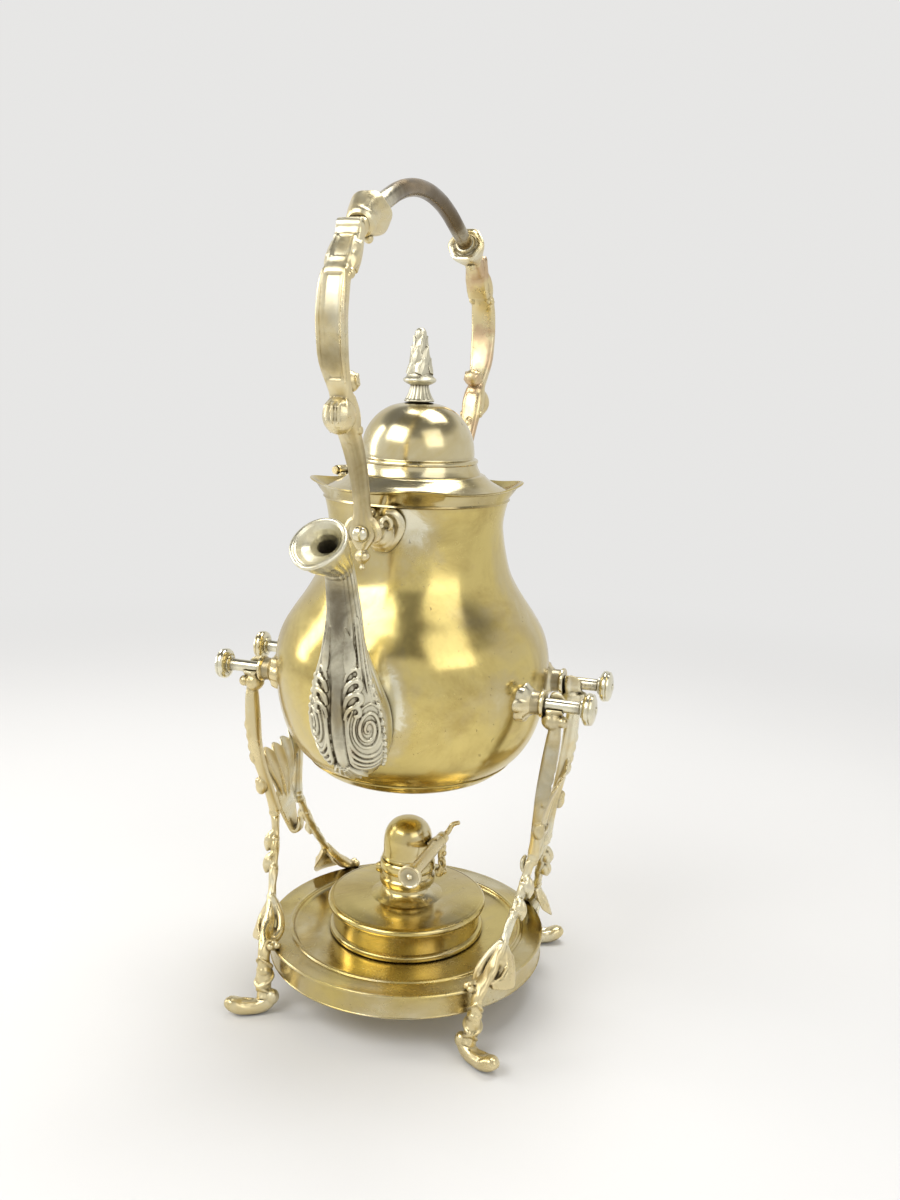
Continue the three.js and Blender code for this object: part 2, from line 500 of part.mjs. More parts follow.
// Two cast side frames: cradles, straps, shell fan, stems and feet
const cradleMid = (cradleInner + cradleOuter) / 2;
const footSpread = 0.735 * baseRadius;
const clearOfDish = baseRadius + 0.056 * baseRadius;
const dishSkin = solid(turned([[0, baseLift - slack], [baseRadius + slack, baseLift - slack],
  [baseRadius + slack, dishTop + slack], [ridge + 2 * slack, dishTop + 0.1 * baseDepth + slack],
  [0, dishTop + 0.1 * baseDepth + slack]], 40));
for (const side of [-1, 1]) {
  const parts = [];
  const drop = pinHeight - dishTop;
  const inX = (share) => cradleMid + (footSpread - cradleMid) * share;
  for (const end of [-1, 1]) {
    const stop = (x, y, z, w, t) => [side * x, end * y, z, w, t];
    const s = pinSpread;
    const y = legThick;
    parts.push(solid(bar([
      stop(cradleMid, s, pinHeight - 2.6 * pinRadius, 1.7 * y, 1.15 * y),
      stop(cradleMid, 1.08 * s, dishTop + 0.86 * drop, 1.6 * y, 1.0 * y),
      stop(inX(0.1), 1.24 * s, dishTop + 0.75 * drop, 1.65 * y, 0.95 * y),
      stop(inX(0.2), 1.2 * s, dishTop + 0.665 * drop, 1.6 * y, 0.95 * y),
      stop(inX(0.3), 1.0 * s, dishTop + 0.56 * drop, 1.4 * y, 0.95 * y),
      stop(inX(0.38), 0.78 * s, dishTop + 0.45 * drop, 1.2 * y, 1.0 * y),
      stop(inX(0.42), 0.66 * s, dishTop + 0.36 * drop, 1.1 * y, 1.05 * y),
      stop(inX(0.5), 0.8 * s, dishTop + 0.28 * drop, 1.15 * y, 1.1 * y),
      stop(inX(0.62), 1.12 * s, dishTop + 0.205 * drop, 1.0 * y, 1.0 * y),
      stop(0.86 * clearOfDish, 0.5 * clearOfDish, dishTop + 0.125 * drop, 1.2 * y, 1.15 * y),
      stop(0.785 * clearOfDish, 0.62 * clearOfDish, dishTop + 0.04 * drop, 1.25 * y, 1.0 * y),
      stop(0.745 * clearOfDish, 0.695 * clearOfDish, baseLift + 0.4 * baseDepth, 1.2 * y, 0.9 * y),
      stop(0.715 * clearOfDish, 0.735 * clearOfDish, 0.75 * baseLift, 1.2 * y, 1.25 * y),
      stop(0.72 * clearOfDish, 0.77 * clearOfDish, 0.4 * baseLift, 1.15 * y, 1.35 * y),
      stop(0.83 * clearOfDish, 0.82 * clearOfDish, 0.2 * baseLift, 1.7 * y, 1.4 * y),
      stop(0.96 * clearOfDish, 0.87 * clearOfDish, 0.13 * baseLift, 1.6 * y, 1.1 * y),
      stop(1.05 * clearOfDish, 0.9 * clearOfDish, 0.1 * baseLift, 0.6 * y, 0.6 * y),
    ], new Vector3(0, end, 0.02), 8, 1)));
    // leaf on the edge of the dish
    parts.push(solid(bar([
      stop(0.8 * clearOfDish, 0.56 * clearOfDish, dishTop + 0.06 * drop, 1.0 * y, 0.8 * y),
      stop(0.76 * clearOfDish, 0.5 * clearOfDish, dishTop + 0.045 * drop, 1.9 * y, 0.7 * y),
      stop(0.72 * clearOfDish, 0.42 * clearOfDish, dishTop + 0.02 * drop, 1.7 * y, 0.7 * y),
      stop(0.68 * clearOfDish, 0.34 * clearOfDish, dishTop + 0.008 * drop, 0.4 * y, 0.4 * y),
    ], new Vector3(-side * 0.6, end * 0.8, 0), 6, 1)));
    // knots on the stem
    for (const [share, x, z] of [[0.74, 0.45, 0.33], [1.2, 0.66, 0.185]]) {
      parts.push(solid(new SphereGeometry(1.35 * y, 8, 5))
        .translate(side * inX(x), end * share * s, dishTop + z * drop));
    }
    // cradle: an open-topped fork for the pin
    const prong = pinHeight + 1.15 * pinRadius;
    const low = pinHeight - 3.4 * pinRadius;
    const block = solid(bar([
      [side * cradleInner, end * s, (prong + low) / 2, 2.2 * pinRadius, (prong - low) / 2],
      [side * cradleMid, end * s, (prong + low) / 2, 2.35 * pinRadius, (prong - low) / 2],
      [side * cradleOuter, end * s, (prong + low) / 2, 2.2 * pinRadius, (prong - low) / 2],
    ], new Vector3(0, 1, 0), 12, 1, 0.8));
    parts.push(block);
  }
  // ribbed shell fan between the straps
  const ribs = 5;
  for (let i = 0; i < ribs; i += 1) {
    const fan = (i - (ribs - 1) / 2) / ((ribs - 1) / 2);
    const tall = 0.64 + 0.035 * fan * fan;
    parts.push(solid(bar([
      [side * inX(0.43), fan * 0.5 * pinSpread, dishTop + 0.3 * drop, 0.11 * pinSpread, 0.5 * legThick],
      [side * inX(0.37), fan * 0.75 * pinSpread, dishTop + 0.46 * drop, 0.24 * pinSpread,
      0.62 * legThick],
      [side * inX(0.27), fan * 1.0 * pinSpread, dishTop + 0.6 * drop, 0.31 * pinSpread,
      0.62 * legThick],
      [side * inX(0.2), fan * 1.1 * pinSpread, dishTop + tall * drop, 0.16 * pinSpread, 0.5 * legThick],
    ], new Vector3(0, 1, 0), 6, 1)));
  }
  let frame = joined(parts);
  for (const end of [-1, 1]) {
    const notch = new Shape();
    const r = pinRadius + slack;
    notch.absarc(0, 0, r, Math.PI, 2 * Math.PI, false);
    notch.lineTo(1.25 * r, 3 * r);
    notch.lineTo(-1.25 * r, 3 * r);
    const cut = new ExtrudeGeometry(notch,
      { depth: 4 * pinRadius, bevelEnabled: false, curveSegments: 10 });
    frame = frame.subtract(solid(cut).rotate([90, 0, 90])
      .translate(side < 0 ? -cradleOuter - pinRadius / 2 : cradleInner - pinRadius / 2,
        end * pinSpread, pinHeight));
  }
  const below = box(-3 * baseRadius, 3 * baseRadius, -3 * baseRadius, 3 * baseRadius, -baseLift, 0);
  frame = frame.subtract(dishSkin).subtract(below);
  add(`side_frame_${side < 0 ? "left" : "right"}`, surface(frame), "cast");
  // screws that hold the frame to the dish's skirt
  for (const end of [-1, 1]) {
    const away = new Vector3(side * 0.73, end * 0.683, 0).normalize();
    const level = new Vector3(0, 0, baseLift + 0.45 * baseDepth);
    const inner = baseRadius - 0.1 * baseDepth - sheet - slack;
    const head = inner - 0.2 * baseDepth;
    add(`frame_screw_${end < 0 ? "front" : "rear"}_${side < 0 ? "left" : "right"}`, laid(turned([
      [0, head - 0.1 * baseDepth], [0.14 * baseDepth, head - 0.08 * baseDepth], [0.2 * baseDepth, head],
      [0.2 * baseDepth, inner - 0.02 * baseDepth], [0, inner - 0.02 * baseDepth],
    ], 12), level, away), "cast");
  }
}

// Spirit lamp
const lampWall = 0.94 * lampRadius;
const bowlTop = lampFloor + slack + 0.72 * lampDepth;
add("lamp_bowl", turned([
  [0, lampFloor], [0.965 * lampRadius, lampFloor], [0.985 * lampRadius, lampFloor + 0.05 * lampDepth],
  [0.985 * lampRadius, lampFloor + 0.18 * lampDepth], [lampWall, lampFloor + 0.24 * lampDepth],
  [lampWall, bowlTop],
  [lampWall - sheet, bowlTop], [lampWall - sheet, lampFloor + sheet], [0, lampFloor + sheet],
], 32), "gilt");
const neckFoot = 1.45 * capRadius;
const wickBore = 0.62 * capRadius;
add("lamp_cover", turned([
  [wickBore, bowlTop + slack], [lampWall, bowlTop + slack],
  [0.995 * lampRadius, bowlTop + 0.06 * lampDepth],
  [lampRadius, lampTop - 0.12 * lampDepth], [0.975 * lampRadius, lampTop - 0.02 * lampDepth],
  [0.94 * lampRadius, lampTop],
  [neckFoot, lampTop + 0.03 * lampDepth], [wickBore, lampTop + 0.03 * lampDepth],
  [wickBore, bowlTop + slack],
], 32), "gilt");
const neckBase = lampTop + 0.03 * lampDepth + slack;
const neckTube = 0.94 * capRadius;
add("lamp_neck", turned([
  [wickBore, neckBase], [neckFoot, neckBase],
  [1.2 * capRadius, neckBase + 0.25 * (collarFoot - neckBase)],
  [neckTube, neckBase + 0.7 * (collarFoot - neckBase)], [neckTube, collarFoot - slack],
  [wickBore, collarFoot - slack],
  [wickBore, neckBase],
], 32), "gilt");
const collarDeep = collarTop - collarFoot;
add("burner_collar", turned([
  [wickBore, collarFoot], [1.06 * capRadius, collarFoot],
  [1.1 * capRadius, collarFoot + 0.1 * collarDeep],
  [1.1 * capRadius, collarFoot + 0.35 * collarDeep], [1.04 * capRadius, collarFoot + 0.42 * collarDeep],
  [1.04 * capRadius, collarFoot + 0.6 * collarDeep], [1.1 * capRadius, collarFoot + 0.68 * collarDeep],
  [1.1 * capRadius, collarFoot + 0.92 * collarDeep], [1.05 * capRadius, collarTop],
  [wickBore, collarTop],
  [wickBore, collarFoot],
], 32), "gilt");
const tubeRadius = wickBore - slack;
const wickRadius = 0.78 * tubeRadius - slack;
const tubeTop = collarTop + 0.12 * (capTop - collarTop);
const lipDeep = 0.06 * (capTop - collarTop);
add("wick_tube", turned([
  [0.78 * tubeRadius, bowlTop], [tubeRadius, bowlTop], [tubeRadius, collarTop + slack],
  [1.25 * tubeRadius, collarTop + slack], [1.25 * tubeRadius, collarTop + slack + lipDeep],
  [tubeRadius, tubeTop],
  [0.78 * tubeRadius, tubeTop], [0.78 * tubeRadius, bowlTop],
], 20), "gilt");
add("wick", turned([
  [0, lampFloor + 2 * sheet], [wickRadius, lampFloor + 2 * sheet],
  [wickRadius, tubeTop + 1.5 * lipDeep],
  [0.8 * wickRadius, tubeTop + 3 * lipDeep], [0, tubeTop + 3.4 * lipDeep],
], 14), "cotton");

// Snuffer: cap, hinge rod with a long sleeve and a disc to turn it by
const capDeep = capTop - collarTop;
const capFoot = collarTop + slack;
const capShares = [[1, 0], [1.02, 0.06], [0.985, 0.12], [0.98, 0.4], [0.94, 0.58], [0.82, 0.76],
  [0.6, 0.9], [0.3, 0.98], [0, 1]];
const capLine = capShares.map(([r, z]) => [r * capRadius, capFoot + z * (capDeep - slack)]);
add("snuffer_cap", shell(capLine, 0.8 * sheet, 24), "gilt");
const rodX = 1.3 * capRadius;
const rodZ = collarTop + 0.5 * capDeep;
const sleeveRadius = 0.25 * capRadius;
const discRadius = 0.45 * capRadius;
const sleeveFront = -3.2 * capRadius;
const sleeveBack = 0.1 * capRadius;
const knuckleFrom = sleeveBack + slack;
const knuckleTo = knuckleFrom + 0.4 * capRadius;
const rodAt = new Vector3(rodX, 0, rodZ);
const backward = new Vector3(0, 1, 0);
add("snuffer_sleeve", laid(turned([
  [rodRadius + slack, sleeveFront], [0.92 * sleeveRadius, sleeveFront],
  [sleeveRadius, sleeveFront + 0.1 * capRadius],
  [0.9 * sleeveRadius, sleeveFront + 0.25 * capRadius], [sleeveRadius, sleeveFront + 0.6 * capRadius],
  [sleeveRadius, sleeveBack], [rodRadius + slack, sleeveBack], [rodRadius + slack, sleeveFront],
], 16), rodAt, backward), "cast");
add("snuffer_disc", laid(turned([
  [0, sleeveFront - slack - 0.2 * capRadius], [0.1 * discRadius, sleeveFront - slack - 0.2 * capRadius],
  [0.24 * discRadius, sleeveFront - slack - 0.12 * capRadius],
  [0.85 * discRadius, sleeveFront - slack - 0.14 * capRadius],
  [discRadius, sleeveFront - slack - 0.09 * capRadius], [discRadius, sleeveFront - slack],
  [rodRadius + slack, sleeveFront - slack],
  [rodRadius + slack, sleeveFront - slack - 0.06 * capRadius],
  [0, sleeveFront - slack - 0.06 * capRadius],
], 20), rodAt, backward), "cast");
const rodEnd = knuckleTo + 0.2 * capRadius;
add("snuffer_rod", surface(joined([
  alongY(rodRadius, sleeveFront - slack - 0.03 * capRadius, rodEnd, 12).translate(rodX, 0, rodZ),
  solid(bar([
    [rodX, rodEnd - rodRadius, rodZ, rodRadius, rodRadius],
    [rodX + 0.1 * capRadius, rodEnd + 0.1 * capRadius, rodZ + 0.12 * capRadius, rodRadius, rodRadius],
    [rodX + 0.25 * capRadius, rodEnd + 0.2 * capRadius, rodZ + 0.4 * capRadius, 0.9 * rodRadius,
    0.9 * rodRadius],
    [rodX + 0.55 * capRadius, rodEnd + 0.25 * capRadius, rodZ + 0.55 * capRadius, 0.8 * rodRadius,
    0.8 * rodRadius],
  ], new Vector3(1, 0, -0.4), 8, 2, 1)),
])), "cast");
{
  const capHull = solid(turned([[0, collarTop - capDeep], [capRadius + slack, collarTop - capDeep],
    ...capLine.map(([r, z]) => [r + slack, z + slack]), [0, capTop + slack]], 32));
  const sleeveRoom = alongY(sleeveRadius + slack, 2 * sleeveFront, sleeveBack + slack, 16)
    .translate(rodX, 0, rodZ);
  const strap = box(0.6 * capRadius, rodX, -0.42 * capRadius, 0.02 * capRadius,
    rodZ - 0.16 * capRadius, rodZ + 0.16 * capRadius);
  add("snuffer_strap", surface(strap.subtract(capHull).subtract(sleeveRoom)), "cast");
  const collarHull = solid(turned([[0, collarFoot], [1.1 * capRadius + slack, collarFoot],
    [1.1 * capRadius + slack, collarTop],
    [0, collarTop]], 32));
  const knuckleMid = (knuckleFrom + knuckleTo) / 2;
  const arm = solid(bar([
    [0.85 * capRadius, knuckleMid, collarFoot + 0.45 * collarDeep, 0.2 * capRadius, 0.28 * capRadius],
    [1.22 * capRadius, knuckleMid, collarFoot + 0.5 * collarDeep, 0.19 * capRadius, 0.2 * capRadius],
    [rodX + 0.04 * capRadius, knuckleMid, collarTop + 0.12 * capDeep, 0.19 * capRadius,
    0.13 * capRadius],
    [rodX, knuckleMid, rodZ, 0.19 * capRadius, 0.13 * capRadius],
  ], backward, 8, 2, 0.7));
  const eye = alongY(0.24 * capRadius, knuckleFrom, knuckleTo, 16).translate(rodX, 0, rodZ);
  const bore = alongY(rodRadius + slack, knuckleFrom - capRadius, knuckleTo + capRadius, 12)
    .translate(rodX, 0, rodZ);
  add("snuffer_bracket", surface(joined([arm, eye]).subtract(collarHull).subtract(bore)
    .subtract(alongY(0.6 * capRadius, knuckleTo, knuckleTo + capRadius).translate(rodX, 0, rodZ))
    .subtract(alongY(0.6 * capRadius, knuckleFrom - capRadius, knuckleFrom)
      .translate(rodX, 0, rodZ))), "cast");
}

export default group;
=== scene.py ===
"""Spirit kettle on its stand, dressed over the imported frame: worn plated brass, cast ornament, studio light.

Shapes are written in millimetres of the 63 mm belly and scaled to the frame's own belly radius.
Right is +X, the spout points to -Y and up is +Z. Mirrored pieces are made once and mirrored.
"""

from math import atan2, copysign, cos, exp, pi, radians, sin, sqrt

import bpy
import numpy as np
from mathutils import Matrix, Vector


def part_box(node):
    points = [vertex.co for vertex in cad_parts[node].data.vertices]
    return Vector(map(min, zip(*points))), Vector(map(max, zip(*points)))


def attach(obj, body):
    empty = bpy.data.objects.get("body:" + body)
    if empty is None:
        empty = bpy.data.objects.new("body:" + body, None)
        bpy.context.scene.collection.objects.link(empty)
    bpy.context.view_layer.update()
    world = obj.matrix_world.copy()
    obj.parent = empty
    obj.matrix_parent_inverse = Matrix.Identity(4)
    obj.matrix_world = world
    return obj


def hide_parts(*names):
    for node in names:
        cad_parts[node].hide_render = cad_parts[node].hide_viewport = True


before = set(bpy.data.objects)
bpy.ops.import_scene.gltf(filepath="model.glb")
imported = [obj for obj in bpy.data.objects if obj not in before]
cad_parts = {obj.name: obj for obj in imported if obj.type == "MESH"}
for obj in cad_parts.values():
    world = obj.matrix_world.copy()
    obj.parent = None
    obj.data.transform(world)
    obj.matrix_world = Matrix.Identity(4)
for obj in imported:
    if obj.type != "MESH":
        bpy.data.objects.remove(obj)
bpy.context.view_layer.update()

# Driving sizes: MM is one millimetre of the drawn kettle, from the frame's own belly
DRAWN_BELLY = 63
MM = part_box("kettle_body")[1].x / DRAWN_BELLY


def extent(node, axis=2):
    """The lowest and highest place of a CAD node along an axis, upwards unless told otherwise."""
    low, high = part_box(node)
    return low[axis] / MM, high[axis] / MM


BOTTOM_Z = extent("kettle_bottom")[0]
BELLY_Z = BOTTOM_Z + 54.2
NECK_Z = extent("kettle_body")[1]
LEDGE_Z = extent("lid")[0] + 3.8
PIVOT_Z = BELLY_Z + 67.7
PIN_Z = BELLY_Z - 7.6
PIN_Y = 18.9
EYE_Y = -62.1
DISH_Z = 29
CORNER_TURN = radians(20)
HINGE_TURN = radians(-25)
HINGE_R = 44.97
HINGE_Z = LEDGE_Z + 4.65
SPUN_SIDES = 160
WALL = 1.4
ROD_BORE = 1.62

UP = np.array([0.0, 0.0, 1.0])
RIGHT = np.array([1.0, 0.0, 0.0])
BACK = np.array([0.0, 1.0, 0.0])
SIDES = ((-1, "front"), (1, "rear"))
HANDS = ((-1, "left"), (1, "right"))


# Curves and parts. A part is (points, faces) in millimetres.
def between(a, b, c, d, t):
    """The Catmull-Rom curve from b to c at share t, with a before and d after them."""
    return 0.5 * (2 * b + (c - a) * t + (2 * a - 5 * b + 4 * c - d) * t**2 + (3 * b - a - 3 * c + d) * t**3)


def raised(stops, base):
    """Stops as an array. Heights, the third number or the second of a pair, are counted from base."""
    p = np.array(stops, float)
    if base:
        p[:, min(p.shape[1] - 1, 2)] += base
    return p


def smooth(stops, per=8, base=0):
    """A smooth curve through the stops, with per points to a span."""
    p = raised(stops, base)
    ends = np.vstack([2 * p[0] - p[1], p, 2 * p[-1] - p[-2]])
    out = []
    for i in range(len(p) - 1):
        a, b, c, d = ends[i : i + 4]
        for k in range(per):
            out.append(between(a, b, c, d, k / per))
    out.append(p[-1])
    return [tuple(q) for q in out]


def unit(v):
    v = np.asarray(v, float)
    return v / max(np.linalg.norm(v), 1e-9)


def turned(pairs, around=SPUN_SIDES, wave=None, base=0):
    """Turns (radius, height) pairs about Z. A profile that isn't on the axis at both ends closes on itself."""
    points, rings, faces = [], [], []
    for i, (r, z) in enumerate(raised(pairs, base)):
        if r <= 1e-6:
            rings.append([len(points)])
            points.append((0, 0, z))
            continue
        rings.append(list(range(len(points), len(points) + around)))
        for j in range(around):
            turn = 2 * pi * j / around
            rr, zz = wave(i, turn, r, z) if wave else (r, z)
            points.append((rr * cos(turn), rr * sin(turn), zz))
    spans = list(zip(rings, rings[1:]))
    if len(rings[0]) > 1 or len(rings[-1]) > 1:
        spans.append((rings[-1], rings[0]))
    for low, high in spans:
        if len(low) == 1 and len(high) == 1:
            continue
        for j in range(around):
            k = (j + 1) % around
            if len(low) == 1:
                faces.append((low[0], high[k], high[j]))
            elif len(high) == 1:
                faces.append((low[j], low[k], high[0]))
            else:
                faces.append((low[j], low[k], high[k], high[j]))
    return np.array(points, float), faces


def lofted(rings):
    """A closed solid through rings of equal counts, with a fan at each end."""
    around = len(rings[0])
    points = [q for ring in rings for q in ring]
    faces = []
    for i in range(len(rings) - 1):
        a, b = i * around, (i + 1) * around
        for j in range(around):
            k = (j + 1) % around
            faces.append((a + j, a + k, b + k, b + j))
    for base, flip in ((0, True), ((len(rings) - 1) * around, False)):
        middle = len(points)
        points.append(np.mean(points[base : base + around], axis=0))
        for j in range(around):
            k = (j + 1) % around
            faces.append((middle, base + k, base + j) if flip else (middle, base + j, base + k))
    return np.array(points, float), faces


def rounded(value, power):
    return copysign(abs(value) ** power, value)


class Limb:
    """A bar along a smooth line. A stop is (x, y, z, half width, half thickness); the width lies along across.

    Its section is an ellipse, squarer for a smaller square.
    """

    def __init__(self, stops, across, square=1.0, base=0):
        self.stops = raised(stops, base)
        self.across = np.array(across, float)
        self.square = square

    def value(self, u):
        n = len(self.stops) - 1
        u = min(max(u, 0.0), float(n))
        i = min(int(u), n - 1)
        p = self.stops
        b, c = p[i], p[i + 1]
        a = p[i - 1] if i else 2 * b - c
        d = p[i + 2] if i + 2 <= n else 2 * c - b
        return between(a, b, c, d, u - i)

    def at(self, u):
        n = len(self.stops) - 1
        here = self.value(u)
        ahead, behind = self.value(min(u + 0.02, n)), self.value(max(u - 0.02, 0))
        along = unit(ahead[:3] - behind[:3])
        wide = unit(self.across - along * self.across.dot(along))
        return here[:3], wide, np.cross(along, wide), max(here[3], 0.05), max(here[4], 0.05)

    def point(self, u, turn, lift=0.0):
        centre, wide, thick, w, t = self.at(u)
        return (centre + wide * (w + lift) * rounded(cos(turn), self.square) + thick * (t + lift)
            * rounded(sin(turn), self.square))

    def rings(self, around=28, per=6, relief=None):
        turns = [2 * pi * (j + 0.5) / around for j in range(around)]
        places = [k / per for k in range((len(self.stops) - 1) * per + 1)]
        return [[self.point(u, turn, relief(u, turn) if relief else 0.0) for turn in turns] for u in places]

    def part(self, around=28, per=6, relief=None):
        return lofted(self.rings(around, per, relief))


def ridge(points, radius, around=8, taper=0.35, base=0):
    """A round bead along a line of points, thinner at its ends."""
    p = raised(points, base)
    n = len(p)
    rings, side = [], None
    for i in range(n):
        along = unit(p[min(i + 1, n - 1)] - p[max(i - 1, 0)])
        if side is None:
            side = unit(np.cross(along, UP if abs(along[2]) < 0.9 else BACK))
        side = unit(side - along * side.dot(along))
        up = np.cross(along, side)
        share = min(i, n - 1 - i) / max((n - 1) * 0.25, 1)
        r = radius * (taper + (1 - taper) * min(share, 1))
        rings.append([p[i] + (side * cos(a) + up * sin(a)) * r for a in (2 * pi * j / around for j in range(around))])
    return lofted(rings)


def ball(centre, size, squash=(1, 1, 1), around=20):
    pairs = [(size * sin(pi * i / 12), -size * cos(pi * i / 12)) for i in range(13)]
    pairs[0], pairs[-1] = (0, -size), (0, size)
    points, faces = turned(pairs, around)
    return points * np.array(squash) + np.array(centre, float), faces


def leaf(spine, widths, facing, thick=1.0, lobes=0, depth=0.0, cup=0.0, base=0):
    """A closed leaf along spine points. Its face looks along facing, its edge has lobes, and cup bends it."""
    line = np.array(smooth(spine, 6, base), float)
    girth = [w for (w,) in smooth([(w,) for w in widths], 6)]
    n, across, rings = len(line), 14, []
    for i in range(n):
        along = unit(line[min(i + 1, n - 1)] - line[max(i - 1, 0)])
        face = unit(np.array(facing, float) - along * np.dot(facing, along))
        side = np.cross(along, face)
        w = max(girth[i], 0.12) * (1 - depth * abs(sin(lobes * pi * i / (n - 1))) if lobes else 1)
        ring = []
        for j in range(across):
            turn = 2 * pi * j / across
            s = cos(turn)
            rib = 0.35 * thick * exp(-(s / 0.25) ** 2)
            height = sin(turn) * thick * (0.35 + 0.65 * (1 - s * s)) + (rib if sin(turn) > 0 else 0)
            ring.append(line[i] + side * w * s + face * (height - cup * w * (s * s)))
        rings.append(ring)
    return lofted(rings)


def moved(part, matrix):
    points, faces = part
    m = np.array(matrix)
    return points @ m[:3, :3].T + m[:3, 3], faces


def along_x(part, centre):
    """A part that was turned about Z, laid along +X from a centre."""
    points, faces = part
    return np.stack([points[:, 2], points[:, 1], -points[:, 0]], axis=1) + np.array(centre, float), faces


def along_y(part, centre):
    points, faces = part
    return np.stack([points[:, 0], points[:, 2], -points[:, 1]], axis=1) + np.array(centre, float), faces


def mirrored(part, axis):
    points, faces = part
    points = points.copy()
    points[:, axis] *= -1
    return points, [tuple(reversed(f)) for f in faces]


def joined(parts):
    points, faces, base = [], [], 0
    for p, f in parts:
        points.append(np.array(p, float))
        faces += [tuple(i + base for i in face) for face in f]
        base += len(p)
    return np.vstack(points), faces


# Pieces
SHARP_EDGE = 32


def placed(name, data):
    """An object in the scene, with the mesh, light or camera it shows."""
    thing = bpy.data.objects.new(name, data)
    bpy.context.scene.collection.objects.link(thing)
    return thing


def mesh_of(name, part):
    points, faces = part
    mesh = bpy.data.meshes.new(name)
    mesh.from_pydata((points * MM).tolist(), [], faces)
    return mesh


def finished(name, mesh, body, finish, node, sharp=0):
    """Puts a mesh on the body with the material of a finish, in place of a CAD node."""
    slot, material = finish
    mesh.validate()
    mesh.polygons.foreach_set("use_smooth", [True] * len(mesh.polygons))
    if sharp:
        mesh.set_sharp_from_angle(angle=radians(sharp))
    mesh.materials.clear()
    mesh.materials.append(material)
    thing = placed(name, mesh)
    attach(thing, body)
    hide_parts(node)
    return thing


def piece(name, part, body, finish, node):
    return finished(name, mesh_of(name, part), body, finish, node, SHARP_EDGE)


def cast(name, parts, body, finish, node, grain=0.36, soften=3):
    """Melts overlapping parts into one casting, in cubes of the grain's size."""
    mesh = mesh_of(name + "_parts", joined(parts))
    rough = placed(name + "_parts", mesh)
    melt = rough.modifiers.new("melt", "REMESH")
    melt.mode = "VOXEL"
    melt.voxel_size = grain * MM
    melt.use_smooth_shade = True
    ease = rough.modifiers.new("ease", "SMOOTH")
    ease.factor = 0.5
    ease.iterations = soften
    whole = bpy.data.meshes.new_from_object(rough.evaluated_get(bpy.context.evaluated_depsgraph_get()))
    bpy.data.objects.remove(rough)
    bpy.data.meshes.remove(mesh)
    whole.name = name
    return finished(name, whole, body, finish, node)


